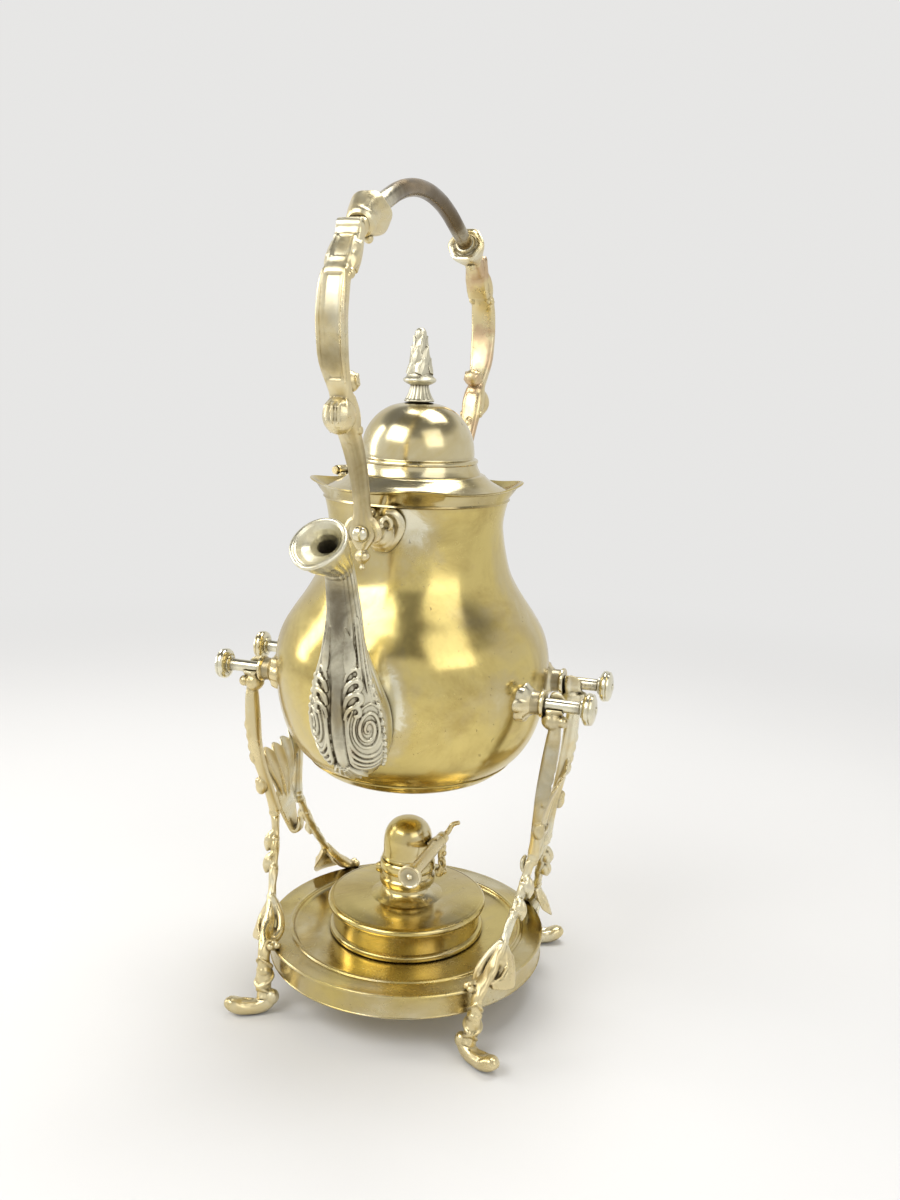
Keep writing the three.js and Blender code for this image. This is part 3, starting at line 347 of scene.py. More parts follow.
# Materials
class Graph:
    """Short ways to add nodes to a material."""

    def __init__(self, name):
        self.material = bpy.data.materials.new(name)
        self.material.use_nodes = True
        self.nodes = self.material.node_tree.nodes
        self.links = self.material.node_tree.links
        self.shader = self.nodes["Principled BSDF"]
        self.place = self.nodes.new("ShaderNodeTexCoord").outputs["Object"]

    def node(self, kind, vector=None, **settings):
        """A new node with its input sockets set. An underscore stands for a space."""
        node = self.nodes.new("ShaderNode" + kind)
        for key, value in settings.items():
            node.inputs[key.replace("_", " ")].default_value = value
        if vector:
            self.link(vector, node.inputs["Vector"])
        return node

    def link(self, a, b):
        self.links.new(a, b)

    def wear(self, colour, rough, normal, metallic=1.0):
        """Joins a look to the shader. Roughness may be one number."""
        self.link(colour, self.shader.inputs["Base Color"])
        if isinstance(rough, float):
            self.shader.inputs["Roughness"].default_value = rough
        else:
            self.link(rough, self.shader.inputs["Roughness"])
        self.shader.inputs["Metallic"].default_value = metallic
        self.link(normal, self.shader.inputs["Normal"])
        return self.material

    def stretched(self, scale, turn=(0, 0, 0)):
        return self.node("Mapping", self.place, Scale=scale, Rotation=turn).outputs["Vector"]

    def noise(self, scale, detail=4.0, rough=0.6, vector=None, twist=0.0):
        node = self.node("TexNoise", vector or self.place, Scale=scale, Detail=detail, Roughness=rough,
            Distortion=twist)
        return node.outputs["Fac"]

    def span(self, value, low, high, to_low=0.0, to_high=1.0):
        node = self.node("MapRange", From_Min=low, From_Max=high, To_Min=to_low, To_Max=to_high)
        node.interpolation_type = "SMOOTHSTEP"
        self.link(value, node.inputs["Value"])
        return node.outputs["Result"]

    def math(self, kind, a, b):
        node = self.node("Math")
        node.operation = kind
        node.use_clamp = kind in ("ADD", "MAXIMUM", "SUBTRACT")
        for i, value in enumerate((a, b)):
            if isinstance(value, (int, float)):
                node.inputs[i].default_value = value
            else:
                self.link(value, node.inputs[i])
        return node.outputs[0]

    def times(self, a, b):
        return self.math("MULTIPLY", a, b)

    def plus(self, a, b):
        return self.math("ADD", a, b)

    def most(self, a, b):
        return self.math("MAXIMUM", a, b)

    def length(self, vector):
        node = self.node("VectorMath")
        node.operation = "LENGTH"
        self.link(vector, node.inputs[0])
        return node.outputs["Value"]

    def mix(self, share, a, b):
        node = self.node("Mix")
        node.data_type = "RGBA"
        self.link(share, node.inputs["Factor"])
        for key, value in (("A", a), ("B", b)):
            socket = [s for s in node.inputs if s.name == key and s.type == "RGBA"][0]
            if isinstance(value, tuple):
                socket.default_value = (*value, 1.0)
            else:
                self.link(value, socket)
        return [s for s in node.outputs if s.type == "RGBA"][0]

    def near(self, point, reach, tall=1.0):
        """1 at a point of the object, 0 beyond its ragged reach in millimetres. A tall spot is stretched upwards."""
        back = (-point[0] * MM, -point[1] * MM, -point[2] * MM / tall)
        shift = self.node("Mapping", self.place, Scale=(1, 1, 1 / tall), Location=back)
        ragged = self.times(self.noise(70, 5, 0.65, twist=0.6), reach * MM * 1.2)
        away = self.plus(self.length(shift.outputs["Vector"]), ragged)
        return self.span(away, reach * MM * 0.7, reach * MM * 1.6, 1.0, 0.0)

    def spots(self, base, places):
        """The greater of base and every place, which is (point, reach, tall, amount)."""
        for point, reach, tall, amount in places:
            base = self.most(base, self.times(self.near(point, reach, tall), amount))
        return base

    def recess(self, reach):
        """1 in corners that other surfaces shade within reach millimetres."""
        node = self.node("AmbientOcclusion", Distance=reach * MM)
        node.samples = 6
        return self.span(node.outputs["AO"], 0.35, 0.95, 1.0, 0.0)

    def hollow(self, low, high):
        """1 in fine grooves of a dense casting."""
        geometry = self.node("NewGeometry")
        return self.span(geometry.outputs["Pointiness"], low, high, 1.0, 0.0)

    def bump(self, height, distance, strength=1.0, under=None):
        node = self.node("Bump", Distance=distance * MM, Strength=strength)
        self.link(height, node.inputs["Height"])
        if under:
            self.link(under, node.inputs["Normal"])
        return node.outputs["Normal"]


BRASS = (0.68, 0.55, 0.205)
DEEP_BRASS = (0.47, 0.355, 0.12)
SILVER = (0.78, 0.735, 0.56)
PALE_SILVER = (0.78, 0.745, 0.58)
PALE_GOLD = (0.74, 0.62, 0.345)
GREY_SILVER = (0.5, 0.475, 0.4)
TARNISH_AND_SHADE = (0.1, 0.077, 0.045)
COPPER = (0.6, 0.42, 0.26)
DARK_BRONZE = (0.13, 0.09, 0.04)
RUBBED_BRONZE = (0.36, 0.25, 0.115)
COTTON_SHADE = (0.42, 0.38, 0.3)
COTTON_LIGHT = (0.74, 0.7, 0.6)
PAPER_SHADE = (0.77, 0.765, 0.755)
PAPER_LIGHT = (0.81, 0.805, 0.795)
BACKDROP = (0.8, 0.795, 0.785)


def worn_plate(name, silver_share, patches=(), gloss=(0.14, 0.3), dirt_and_shade=0.6, deep=2.2, shadow_spots=()):
    """Spun brass whose silver plate is rubbed through, with hairline scratches and dull spots.

    Patches keep more silver and the given dark spots are painted shadow: (point, reach, tall, amount).
    Corners within deep millimetres are darkened, partly as tarnish and partly as painted shade. Gloss is the
    roughness's range.
    """
    g = Graph(name)
    broad = g.noise(14, 5, 0.55, twist=0.6)
    fine = g.noise(120, 5, 0.65)
    silver = g.span(broad, 0.62 - 0.3 * silver_share, 0.82 - 0.3 * silver_share, 0.0, 0.85)
    edge = g.span(g.noise(45, 5, 0.65, twist=0.5), 0.32, 0.6, 0.15, 1.0)
    for point, reach, tall, amount in patches:
        silver = g.most(silver, g.times(g.times(g.near(point, reach, tall), edge), amount))
    brink = g.times(g.times(silver, g.math("SUBTRACT", 1.0, silver)), 1.8)
    silver = g.times(silver, g.span(fine, 0.25, 0.6, 0.7, 1.0))
    tone = g.mix(g.span(g.noise(32, 6, 0.7, twist=0.4), 0.38, 0.75), BRASS, DEEP_BRASS)
    tone = g.mix(g.span(g.noise(55, 3, 0.5), 0.64, 0.78, 0.0, 0.3), tone, COPPER)
    colour = g.mix(brink, g.mix(silver, tone, SILVER), DEEP_BRASS)
    spots = g.span(g.noise(300, 3, 0.7), 0.66, 0.74, 0.0, 0.75)
    colour = g.mix(g.times(spots, 0.6), colour, TARNISH_AND_SHADE)
    # Painted shade, partly tarnish: corners found by ambient occlusion darken towards the tarnish colour.
    low = g.times(g.recess(deep), dirt_and_shade)
    # The given dark spots paint shadow, as inside the rim's corner lobes.
    colour = g.mix(g.spots(low, shadow_spots), colour, TARNISH_AND_SHADE)
    hair = g.noise(1.0, 3, 0.8, g.stretched((1400, 90, 700), (0.3, 0.5, 0.2)))
    cross = g.noise(1.0, 2, 0.8, g.stretched((120, 1500, 500), (0.7, 0.1, 1.1)))
    lines = g.times(g.span(hair, 0.6, 0.72), 0.5)
    lines = g.plus(lines, g.times(g.span(cross, 0.62, 0.74), 0.5))
    rough = g.span(g.noise(22, 6, 0.7), 0.3, 0.75, *gloss)
    rough = g.plus(rough, g.times(lines, 0.1))
    rough = g.plus(rough, g.times(spots, 0.25))
    rough = g.plus(rough, g.times(silver, -0.05))
    dents = g.bump(g.noise(9, 2, 0.4), 0.5, 0.35)
    normal = g.bump(lines, 0.012, 0.5, dents)
    return "worn_plate", g.wear(colour, rough, g.bump(fine, 0.02, 0.4, normal))


def cast_plate(name, warm=0.7, dark=0.85, gloss=(0.22, 0.42), groove=1.6, rosy=0.35, shade_spots=(), flat=0.505):
    """Cast brass under thin silver: pale gold high places, darker in the grooves as patina with painted shade, painted
    shade across wider hollows, and painted dark spots where it is told.
    """
    g = Graph(name)
    broad = g.noise(26, 5, 0.6, twist=0.5)
    grain = g.noise(420, 5, 0.7)
    gold = g.span(broad, 0.68 - 0.45 * warm, 0.88 - 0.45 * warm, 0.05, 0.95)
    tone = g.mix(gold, PALE_SILVER, PALE_GOLD)
    tone = g.mix(g.span(g.noise(60, 4, 0.6), 0.7 - 0.3 * rosy, 0.86 - 0.3 * rosy, 0.0, rosy), tone, COPPER)
    tone = g.mix(g.span(g.noise(40, 5, 0.65, twist=0.8), 0.52, 0.74, 0.0, 0.55), tone, DEEP_BRASS)
    tone = g.mix(g.span(g.noise(95, 4, 0.6), 0.6, 0.8, 0.0, 0.5), tone, GREY_SILVER)
    # Grooves darken: patina, with painted shade from ambient occlusion.
    low = g.most(g.hollow(0.44, flat), g.times(g.recess(groove), 0.85))
    low = g.times(low, dark)
    # Painted shade: wider hollows darken by ambient occlusion.
    low = g.plus(low, g.times(g.recess(7.0), 0.3))
    # The given dark spots are painted shade.
    low = g.spots(low, shade_spots)
    rough = g.span(g.noise(70, 5, 0.7), 0.3, 0.7, *gloss)
    rough = g.plus(rough, g.times(low, 0.3))
    normal = g.bump(g.noise(130, 4, 0.6), 0.1, 0.35)
    return "cast_plate", g.wear(g.mix(low, tone, TARNISH_AND_SHADE), rough, g.bump(grain, 0.025, 0.4, normal))


def bronze(name):
    """The dark bar of the grip, rubbed bright where the hand holds it."""
    g = Graph(name)
    rub = g.span(g.noise(40, 5, 0.6, g.stretched((1, 0.25, 1))), 0.45, 0.7)
    ends = g.most(g.near((0, -52, 362), 22), g.near((0, 52, 362), 14))
    colour = g.mix(g.times(ends, 0.75), g.mix(rub, DARK_BRONZE, RUBBED_BRONZE), SILVER)
    rough = g.span(g.noise(90, 5, 0.7), 0.3, 0.7, 0.16, 0.36)
    return "grip_bronze", g.wear(colour, rough, g.bump(g.noise(500, 4, 0.7), 0.03, 0.4))


def cotton(name):
    """Twisted wick."""
    g = Graph(name)
    wave = g.node("TexWave", g.stretched((1, 1, 1), (0.5, 0.3, 0)), Scale=420, Distortion=1.5)
    strands = wave.outputs["Fac"]
    colour = g.mix(strands, COTTON_SHADE, COTTON_LIGHT)
    return "wick_cotton", g.wear(colour, 0.95, g.bump(strands, 0.2, 0.8), 0.0)


def floor_material():
    """Pale paper that fades into the backdrop between two distances in metres."""
    fade_from, fade_to = 0.32, 0.95
    g = Graph("floor")
    g.link(g.mix(g.noise(3, 3), PAPER_SHADE, PAPER_LIGHT), g.shader.inputs["Base Color"])
    g.shader.inputs["Roughness"].default_value = 0.9
    path = g.node("LightPath")
    seen = g.most(path.outputs["Is Camera Ray"], path.outputs["Is Glossy Ray"])
    seen = g.most(seen, path.outputs["Is Transmission Ray"])
    glow = g.node("Emission", Color=(*BACKDROP, 1))
    both = g.node("MixShader")
    g.link(g.times(g.span(g.length(g.place), fade_from, fade_to), seen), both.inputs["Fac"])
    g.link(g.shader.outputs["BSDF"], both.inputs[1])
    g.link(glow.outputs["Emission"], both.inputs[2])
    g.link(both.outputs["Shader"], g.nodes["Material Output"].inputs["Surface"])
    return g.material


# Places of wear and of painted shade, as (point, reach, tall, amount)
BODY_SILVER = [((-6, -52, 222), 28, 1.0, 1.2), ((14, -44, 230), 20, 1.2, 1.35), ((13, -60, 158), 11, 2.8, 1.35),
    ((-44, -44, 136), 30, 1.0, 0.7), ((52, -34, 158), 16, 1.0, 0.7), ((-36, -24, 205), 24, 1.0, 0.6)]
LID_SILVER = [((-16, -22, 262), 24, 1.0, 1.0), ((20, -34, 246), 30, 1.0, 0.8), ((-30, -30, 243), 20, 1.0, 0.8)]
RIM_SILVER = [((-30, -30, 240), 26, 1.0, 0.9), ((10, -42, 240), 22, 1.0, 0.8)]
DISH_SILVER = [((-46, -26, 29), 26, 1.0, 0.8), ((-52, 20, 29), 22, 1.0, 0.6)]
CORNER_R = 43.0
CORNERS = [CORNER_TURN + k * pi / 2 for k in range(4)]
# Painted shadow: a dark spot inside each of the rim's four corner lobes.
RIM_CORNER_SHADOWS = [((CORNER_R * cos(turn), CORNER_R * sin(turn), LEDGE_Z + 1.2), 5.5, 1.0, 0.95) for turn in CORNERS]
# Dark spots painted on the castings: painted shade on the front handle arm and in its panels, and a painted dark
# reflection on the right leg.
CAST_SHADE_SPOTS = [((0, -71, PIVOT_Z + 22), 24, 1.3, 0.5), ((72, -20, PIN_Z - 34), 26, 1.6, 0.45),
    ((0, -92, PIVOT_Z + 68), 9, 1.0, 0.5), ((0, -96, PIVOT_Z + 84), 6, 1.0, 0.35)]
# Dark spots painted on the spout: painted shade inside the mouth and down the front, with patina on the neck.
SPOUT_SHADE_AND_PATINA = [((0, -91, BELLY_Z + 61.5), 8, 1.0, 1.0), ((0, -88, BELLY_Z + 37), 12, 2.4, 0.85),
    ((0, -88, BELLY_Z + 2), 8, 4.5, 0.7), ((0, -74, BELLY_Z - 4), 26, 1.2, 0.25)]

# Finishes, each a slot and its material
BODY = worn_plate("body_plate", 0.35, BODY_SILVER)
LID = worn_plate("lid_plate", 0.7, LID_SILVER, dirt_and_shade=0.85)
# The rim's wide recess darkening and its corner spots are painted shade.
RIM = worn_plate("rim_plate", 0.55, RIM_SILVER, dirt_and_shade=0.95, deep=7.0, shadow_spots=RIM_CORNER_SHADOWS)
LAMP = worn_plate("lamp_plate", 0.7, gloss=(0.16, 0.32))
DISH = worn_plate("dish_plate", 0.6, DISH_SILVER, gloss=(0.16, 0.34))
CAST = cast_plate("cast_plate", shade_spots=CAST_SHADE_SPOTS)
SPOUT = cast_plate("spout_plate", warm=0.3, dark=1.0, groove=2.6, shade_spots=SPOUT_SHADE_AND_PATINA)
REAR_ARM = cast_plate("rear_arm_plate", warm=0.9, rosy=0.8)
FINIAL = cast_plate("finial_plate", warm=0.12, dark=1.0, groove=2.0, flat=0.53)
PINS = cast_plate("pin_plate", warm=0.35, dark=0.7, gloss=(0.12, 0.26))
SMALL = cast_plate("small_fittings", warm=0.8, gloss=(0.18, 0.36))
GRIP = bronze("grip_bronze")
WICK = cotton("wick_cotton")


# Kettle
def corner(turn):
    """1 at the rim's four pinched corners, 0 midway between them."""
    return (0.5 + 0.5 * cos(4 * (turn - CORNER_TURN))) ** 2


def kettle_body():
    side = smooth([(46.9, -45.1), (52.9, -39.1), (57.5, -31.5), (60.4, -22.7), (62.2, -12.6), (63, 0), (62.2, 8.2),
        (59.8, 15.8), (55.4, 23.3), (50.1, 30.9), (45.9, 37.8), (43.1, 44.1), (40.8, 53.6), (39.4, 63), (39.9, 69.3),
        (41.2, 75.2)], 6)
    side = [(r, BELLY_Z + z) for r, z in side]
    side[-1] = (side[-1][0], NECK_Z)
    inner = [(r - WALL, z) for r, z in side[4::3]]
    inner[-1] = (inner[-1][0], NECK_Z)
    piece("kettle_shell", turned([*side, *reversed(inner), (46.9 - 1.2, side[0][1])]), "kettle", BODY, "kettle_body")
    under = smooth([(0, 0), (18.9, 0.2), (32.8, 1.3), (41.6, 4.4), (45.4, 7.6), (46.9, 9)], 6)
    under = [(r, BOTTOM_Z + z) for r, z in under]
    under[0] = (0, BOTTOM_Z)
    seam = [(47.6, BOTTOM_Z + 9), (47.9, BOTTOM_Z + 9.6), (47.3, BOTTOM_Z + 10.1), (46.6, BOTTOM_Z + 9.9)]
    inside = [(r * 0.97, z + 1.3) for r, z in reversed(under[1::4])]
    piece("kettle_underside", turned([*under, *seam, *inside, (0, BOTTOM_Z + 1.3)]), "kettle", BODY, "kettle_bottom")


def rim():
    """A flared band with four pinched pouring corners and the ledge the lid rests on."""
    around, flare, rise = 288, 5.1, 2.2
    rings = []
    for j in range(around):
        turn = 2 * pi * j / around
        out, up = flare * corner(turn), rise * corner(turn)
        top = LEDGE_Z + 2.0
        section = [(36.4, NECK_Z), (41.2, NECK_Z), (42, NECK_Z + 0.5), (41.5, NECK_Z + 1.3),
            (41.5 + 0.3 * out, NECK_Z + 3), (42.0 + 0.7 * out, top - 1.0 + 0.6 * up), (42.6 + out, top + up - 0.7),
            (42.9 + out, top + up - 0.25), (42.6 + out, top + up + 0.15), (42.0 + out, top + up + 0.1),
            (41.5 + 0.85 * out, top - 0.6 + 0.75 * up), (41.0 + 0.35 * out, LEDGE_Z + 0.3),
            (40.5 + 0.1 * out, LEDGE_Z - 0.1), (36.4, LEDGE_Z - 0.1)]
        rings.append([(r * cos(turn), r * sin(turn), z) for r, z in section])
    count = len(rings[0])
    points = [q for ring in rings for q in ring]
    faces = []
    for j in range(around):
        a, b = j * count, ((j + 1) % around) * count
        for i in range(count):
            k = (i + 1) % count
            faces.append((a + i, b + i, b + k, a + k))
    piece("kettle_rim", (np.array(points), faces), "kettle", RIM, "rim_collar")


def lid():
    flange = [(35.6, -3.7), (35.6, 0), (39.7, 0), (40.1, 0.4), (39.9, 1)]
    cove = smooth([(39.6, 1.1), (37.4, 1.9), (34, 3.6), (31, 6)], 6)
    step = [(30.5, 6.7), (29.6, 7.1), (28.6, 7.4)]
    band = smooth([(28.3, 7.8), (27.2, 10), (26.6, 12)], 4)
    bead = [(27, 12.4), (27.1, 13.1), (26.8, 13.7), (26, 14.1), (25.5, 14.3)]
    dome = smooth([(25.3, 14.7), (25.3, 16.8), (24.7, 21.6), (23.2, 26), (20.7, 30.1), (16.9, 33.9), (12, 36.7),
        (6.3, 38.05), (2.2, 38.4)], 6)
    inside = [(2.2, 37.1), (11.6, 35.3), (19.6, 29.2), (23.3, 21), (24, 15), (27, 9), (33, 2.2), (34.4, 1),
        (34.4, -3.7)]
    profile = [*flange, *cove, *step, *band, *bead, *dome, *inside]
    piece("lid_shell", turned(profile, base=LEDGE_Z), "lid", LID, "lid")


def finial():
    """Fluted skirt, collar and a bud wrapped in leaves."""
    z = LEDGE_Z + 38.5
    body = [(0, -3), (2, -3), (2, 0), (6.6, 0), (6.7, 0.7)]
    skirt = smooth([(6.1, 1.2), (4.9, 3.6), (4.1, 6.2), (4, 7.2)], 5)
    collar = [(5.4, 7.7), (6.8, 8.5), (7.4, 9.2), (7.3, 9.9), (6.2, 10.7), (5.8, 11.3)]
    bud = smooth([(6.2, 12.2), (6.3, 13.4), (5.5, 16.6), (4.5, 20.4), (3.4, 24.4), (2.9, 26.6), (3.1, 28.6),
        (2.8, 30.4)], 6)
    tip = [(1.6, 31.6), (0, 31.9)]
    first, last = len(body), len(body) + len(skirt)

    def flutes(i, turn, r, height):
        if first <= i < last:
            return r * (1 + 0.075 * abs(cos(9 * turn)) - 0.05), height
        return r, height

    bud, tip = [(r * 0.86, h) for r, h in bud], [(r * 0.9, h) for r, h in tip]
    core = turned([*body, *skirt, *collar, *bud, *tip], 108, flutes, z)
    leaves = []
    tiers = ((12, 19, 6.4, 3, 5, 0), (16, 24, 5.3, 2.5, 5, 0.6), (20.5, 28.5, 4.2, 1.9, 4, 0.2))
    for low, high, out, width, count, start in tiers:
        for k in range(count):
            turn = start + 2 * pi * k / count
            spine = []
            for t in (0, 0.35, 0.7, 1):
                a = turn + 0.5 * t
                r = (out - 0.7) * (1 - 0.3 * t) + (0.5 if t == 1 else 0)
                spine.append((r * cos(a), r * sin(a), z + low + (high - low) * t))
            facing = (cos(turn + 0.25), sin(turn + 0.25), 0.25)
            leaves.append(leaf(spine, [width * 0.8, width, width * 0.75, 0.3], facing, 0.55, cup=0.18))
    cast("finial", [core, *leaves], "lid", FINIAL, "lid_finial", grain=0.2, soften=2)


# Spout
SPOUT_STOPS = [(0, -56.7, -35.3, 1.9, 1.9), (0, -61.1, -29, 9.5, 7.6), (0, -66.2, -18.9, 15.1, 13.9),
    (0, -71.8, -5.1, 16.4, 14.5), (0, -76.2, 8.8, 13.2, 11.3), (0, -78.8, 23.9, 8.5, 8.3), (0, -80, 39, 6.7, 6.7),
    (0, -84.1, 54.2, 5.7, 5.8), (0, -87.6, 58.8, 6.2, 6.5)]
MOUTH_TILT = radians(38)
RIBS_FROM, RIBS_TO = 0.5, 2.3


def off_front(turn):
    """The angle between a turn and the front of the spout."""
    return abs(atan2(sin(turn + pi / 2), cos(turn + pi / 2)))


def rib_wave(off):
    """The fine ribs at both sides of the spout's neck."""
    return cos(20 * (off - RIBS_FROM))


def loop(y, rise, wide, long, tear=0, ribs=0):
    """A ring of the spout's mouth in its slanting plane, narrowed towards the tip."""
    ring = []
    for j in range(72):
        turn = 2 * pi * (j + 0.5) / 72
        front = max(0, -sin(turn))
        off = off_front(turn)
        grow = 1 + ribs * rib_wave(off) * (RIBS_FROM < off < RIBS_TO)
        x = wide * grow * cos(turn) * (1 - tear * front**2)
        f = long * grow * sin(turn)
        ring.append((x, y + f * cos(MOUTH_TILT), BELLY_Z + rise + f * sin(MOUTH_TILT)))
    return ring


TUBE = Limb(SPOUT_STOPS, RIGHT, base=BELLY_Z)


def spout_relief(u, turn):
    """A raised strip down the front, and fine ribs at both sides of the neck."""
    strip_from, strip_to, neck_from, run_in = 0.6, 4.8, 3.4, 0.8
    off, lift = off_front(turn), 0.0
    if strip_from < u < strip_to:
        s = off * TUBE.at(u)[3]
        fade = min(1, (u - strip_from) / run_in, (strip_to - u) / run_in)
        strip, groove = exp(-((s / 2.1) ** 4)), exp(-(((s - 3.3) / 0.75) ** 2))
        lift += fade * (0.7 * strip - 0.75 * groove)
    if u > neck_from:
        fade = min(1, (u - neck_from) / run_in)
        if RIBS_FROM < off < RIBS_TO:
            lift += fade * 0.42 * rib_wave(off)
        elif off <= RIBS_FROM:
            lift -= fade * 0.4 * cos(pi * off)
    return lift


def spout_height(u):
    """The spout's height over the belly at a stop."""
    return TUBE.value(u)[2] - BELLY_Z


def on_spout(side, s, rise, lift=0.25):
    """A place on the spout: s millimetres round from its front line, at a height over the belly."""
    best = min(range(5, 10 * (len(SPOUT_STOPS) - 1)), key=lambda i: abs(spout_height(i / 10) - rise))
    u = best / 10
    near = (rise - spout_height(u)) / max(spout_height(u + 0.1) - spout_height(u), 0.05)
    u += 0.1 * min(max(near, -0.5), 0.5)
    turn = -pi / 2 + side * s / max(TUBE.at(u)[3], 3)
    return TUBE.point(u, turn, lift)


def spout_line(side, places, per, radius, lift=0.25, taper=0.35):
    """A bead over the spout through places, which are (round from the front line, height)."""
    return ridge([on_spout(side, s, h, lift) for s, h in smooth(places, per)], radius, taper=taper)


def spout_scrolls(side):
    """A spiral on the spout's cheek, with arcs that follow it outside."""
    spiral = []
    for k in range(100):
        phi = 0.4 + 2 * pi * 2.9 * k / 99
        r = 9.4 - 8.5 * k / 99
        spiral.append((13.2 + 0.78 * r * cos(phi - 0.5), -4.0 + 1.06 * r * sin(phi - 0.5)))
    yield ridge([on_spout(side, s, h, 0.3) for s, h in spiral], 0.8)
    for r, low, high in ((11.9, 2.35, 5.5), (14.4, 2.45, 5.25), (16.9, 2.6, 5.05), (19.2, 2.85, 4.85)):
        arc = [(max(13.2 + 0.72 * r * cos(a), 4.2), -4.0 + r * sin(a)) for a in np.linspace(low, high, 12)]
        yield spout_line(side, arc, 3, 0.78, 0.3)


def spout_leaves(side):
    """Acanthus curls beside the strip, and the pointed leaf over them."""
    for h, size in ((3, 0.9), (7.4, 1.1), (12, 1), (16.2, 0.7)):
        hook = [(3.6, h - 1.8), (4.6, h + 0.8), (6.6, h + 2.4), (6.6 + 2.4 * size, h + 2.2),
            (6.8 + 3.4 * size, h + 0.4), (6.2 + 2.9 * size, h - 1), (5.2 + 2.4 * size, h - 0.4)]
        yield spout_line(side, hook, 5, 1.15 * size, 0.5, 0.6)
    blade = [on_spout(side, s, h, 0.3) for s, h in ((5.2, 17.5), (5.4, 22), (4.6, 28), (3.2, 34.5))]
    yield leaf(blade, [1.6, 2.7, 1.9, 0.3], (side * 0.55, -0.83, 0.1), 0.8)


def spout_ribs(side):
    """Ribs that run from the neck over the swell, and the leafy outer edge."""
    for s0, s1, low, high in ((10.8, 7.2, 12, 36), (13.6, 8.6, 9, 38), (16.4, 10, 6, 36), (18.6, 11.4, 3, 34)):
        yield spout_line(side, [(s0, low), (0.62 * s0 + 0.38 * s1, low + 0.35 * (high - low)), (s1, high)], 10, 0.62)
    for k in range(13):
        h = -27 + 3.3 * k
        s = 20.6 - 0.013 * (h + 8) ** 2
        yield ball(on_spout(side, s, h, 0.2), 1.15, (1, 1, 1.25), 12)


def spout_shield():
    """The leaves under the scrolls."""
    for k in range(-2, 3):
        side, lean = (1 if k >= 0 else -1), abs(k)
        spine = [on_spout(side, 1.0 * lean, -21.5 + lean, 0.4), on_spout(side, 2.3 * lean, -25.5 + 0.8 * lean, 0.9),
            on_spout(side, 3.1 * lean, -30.0 + 1.2 * lean, 0.7)]
        yield leaf(spine, [1.4, 2.5 - 0.3 * lean, 0.7], (0.35 * k, -0.7, -0.7), 1.2)


def spout():
    outer = TUBE.rings(72, 8, spout_relief)
    flare = [loop(-92, 61.6, 7.4, 8.3, 0.05, 0.03), loop(-97.8, 65, 8.9, 10.6, 0.14, 0.02),
        loop(-101.6, 67.6, 9.7, 11.7, 0.2, 0.01), loop(-104.2, 69.4, 10.1, 12.2, 0.24)]
    bowl = [loop(-104.1, 69.7, 8.8, 10.8, 0.24), loop(-102, 68.4, 7.3, 8.6, 0.2), loop(-99, 68.2, 5.3, 5.8, 0.1),
        loop(-96, 67.2, 3.8, 3.6), loop(-91.6, 62.4, 3.5, 3.2), loop(-87.9, 57, 3.2, 3), loop(-84.6, 51, 3.1, 3)]
    parts = [lofted([*outer, *flare, *bowl])]
    edge = [np.array(q) for q in flare[-1]]
    parts.append(ridge(edge + edge[:3], 0.95, taper=1))
    for side in (1, -1):
        parts += [*spout_scrolls(side), *spout_leaves(side), *spout_ribs(side)]
    parts += spout_shield()
    cast("spout_casting", parts, "kettle", SPOUT, "spout", grain=0.27, soften=2)


# Handle
ARM_SQUARE = 0.62
ARM = Limb([(0, -62.1, -6.5, 2.3, 2), (0, -62.1, -3, 4.6, 2.2), (0, -62.1, 0, 5.8, 2.3), (0, -62.2, 4, 5, 2.3),
    (0, -62.8, 9, 3.6, 2), (0, -64.4, 15.5, 3.5, 2), (0, -67.8, 25, 3.9, 2), (0, -72.6, 34, 4.3, 2.1),
    (0, -76.8, 40.5, 4.6, 2.6), (0, -80.2, 46, 5.4, 4.2), (0, -82.8, 51, 5.2, 4.3), (0, -85, 55.5, 4.3, 2.9),
    (0, -88, 60.5, 4.9, 2.4), (0, -91.6, 67.5, 5.7, 2.3), (0, -93.3, 76, 6.1, 2.1), (0, -93.8, 84, 6.2, 2),
    (0, -92.5, 92.5, 6.1, 2.2), (0, -90.4, 98, 5.6, 2.6), (0, -88.2, 101, 4.9, 2.6), (0, -85.6, 104.5, 5.3, 3.2),
    (0, -81.6, 108.6, 5, 3.6), (0, -76.6, 113, 4.6, 3.2), (0, -70.6, 117.4, 4.4, 3.2)], RIGHT, ARM_SQUARE, base=PIVOT_Z)
LEAN = unit((0, 0.9, 0.42))
CUP = np.array([0, -69.6, PIVOT_Z + 117.8])


def arm_relief(u, turn):
    """Sunk panels in the outer face at two stretches, and a rib up the strap."""
    panel_depth, panel_half, rib_height, rib_half = 0.95, 0.66, 0.8, 0.28
    outer = max(0, -sin(turn))
    middle = abs(cos(turn)) ** ARM_SQUARE
    lift = 0.0
    if (12.2 < u < 16.8 or 18.6 < u < 20.6) and outer > 0.3:
        lift -= panel_depth * min(1, max(0, (panel_half - middle) / 0.12))
    if 2.5 < u < 8.6 and outer > 0.4:
        lift += rib_height * exp(-(middle / rib_half) ** 2)
    return lift


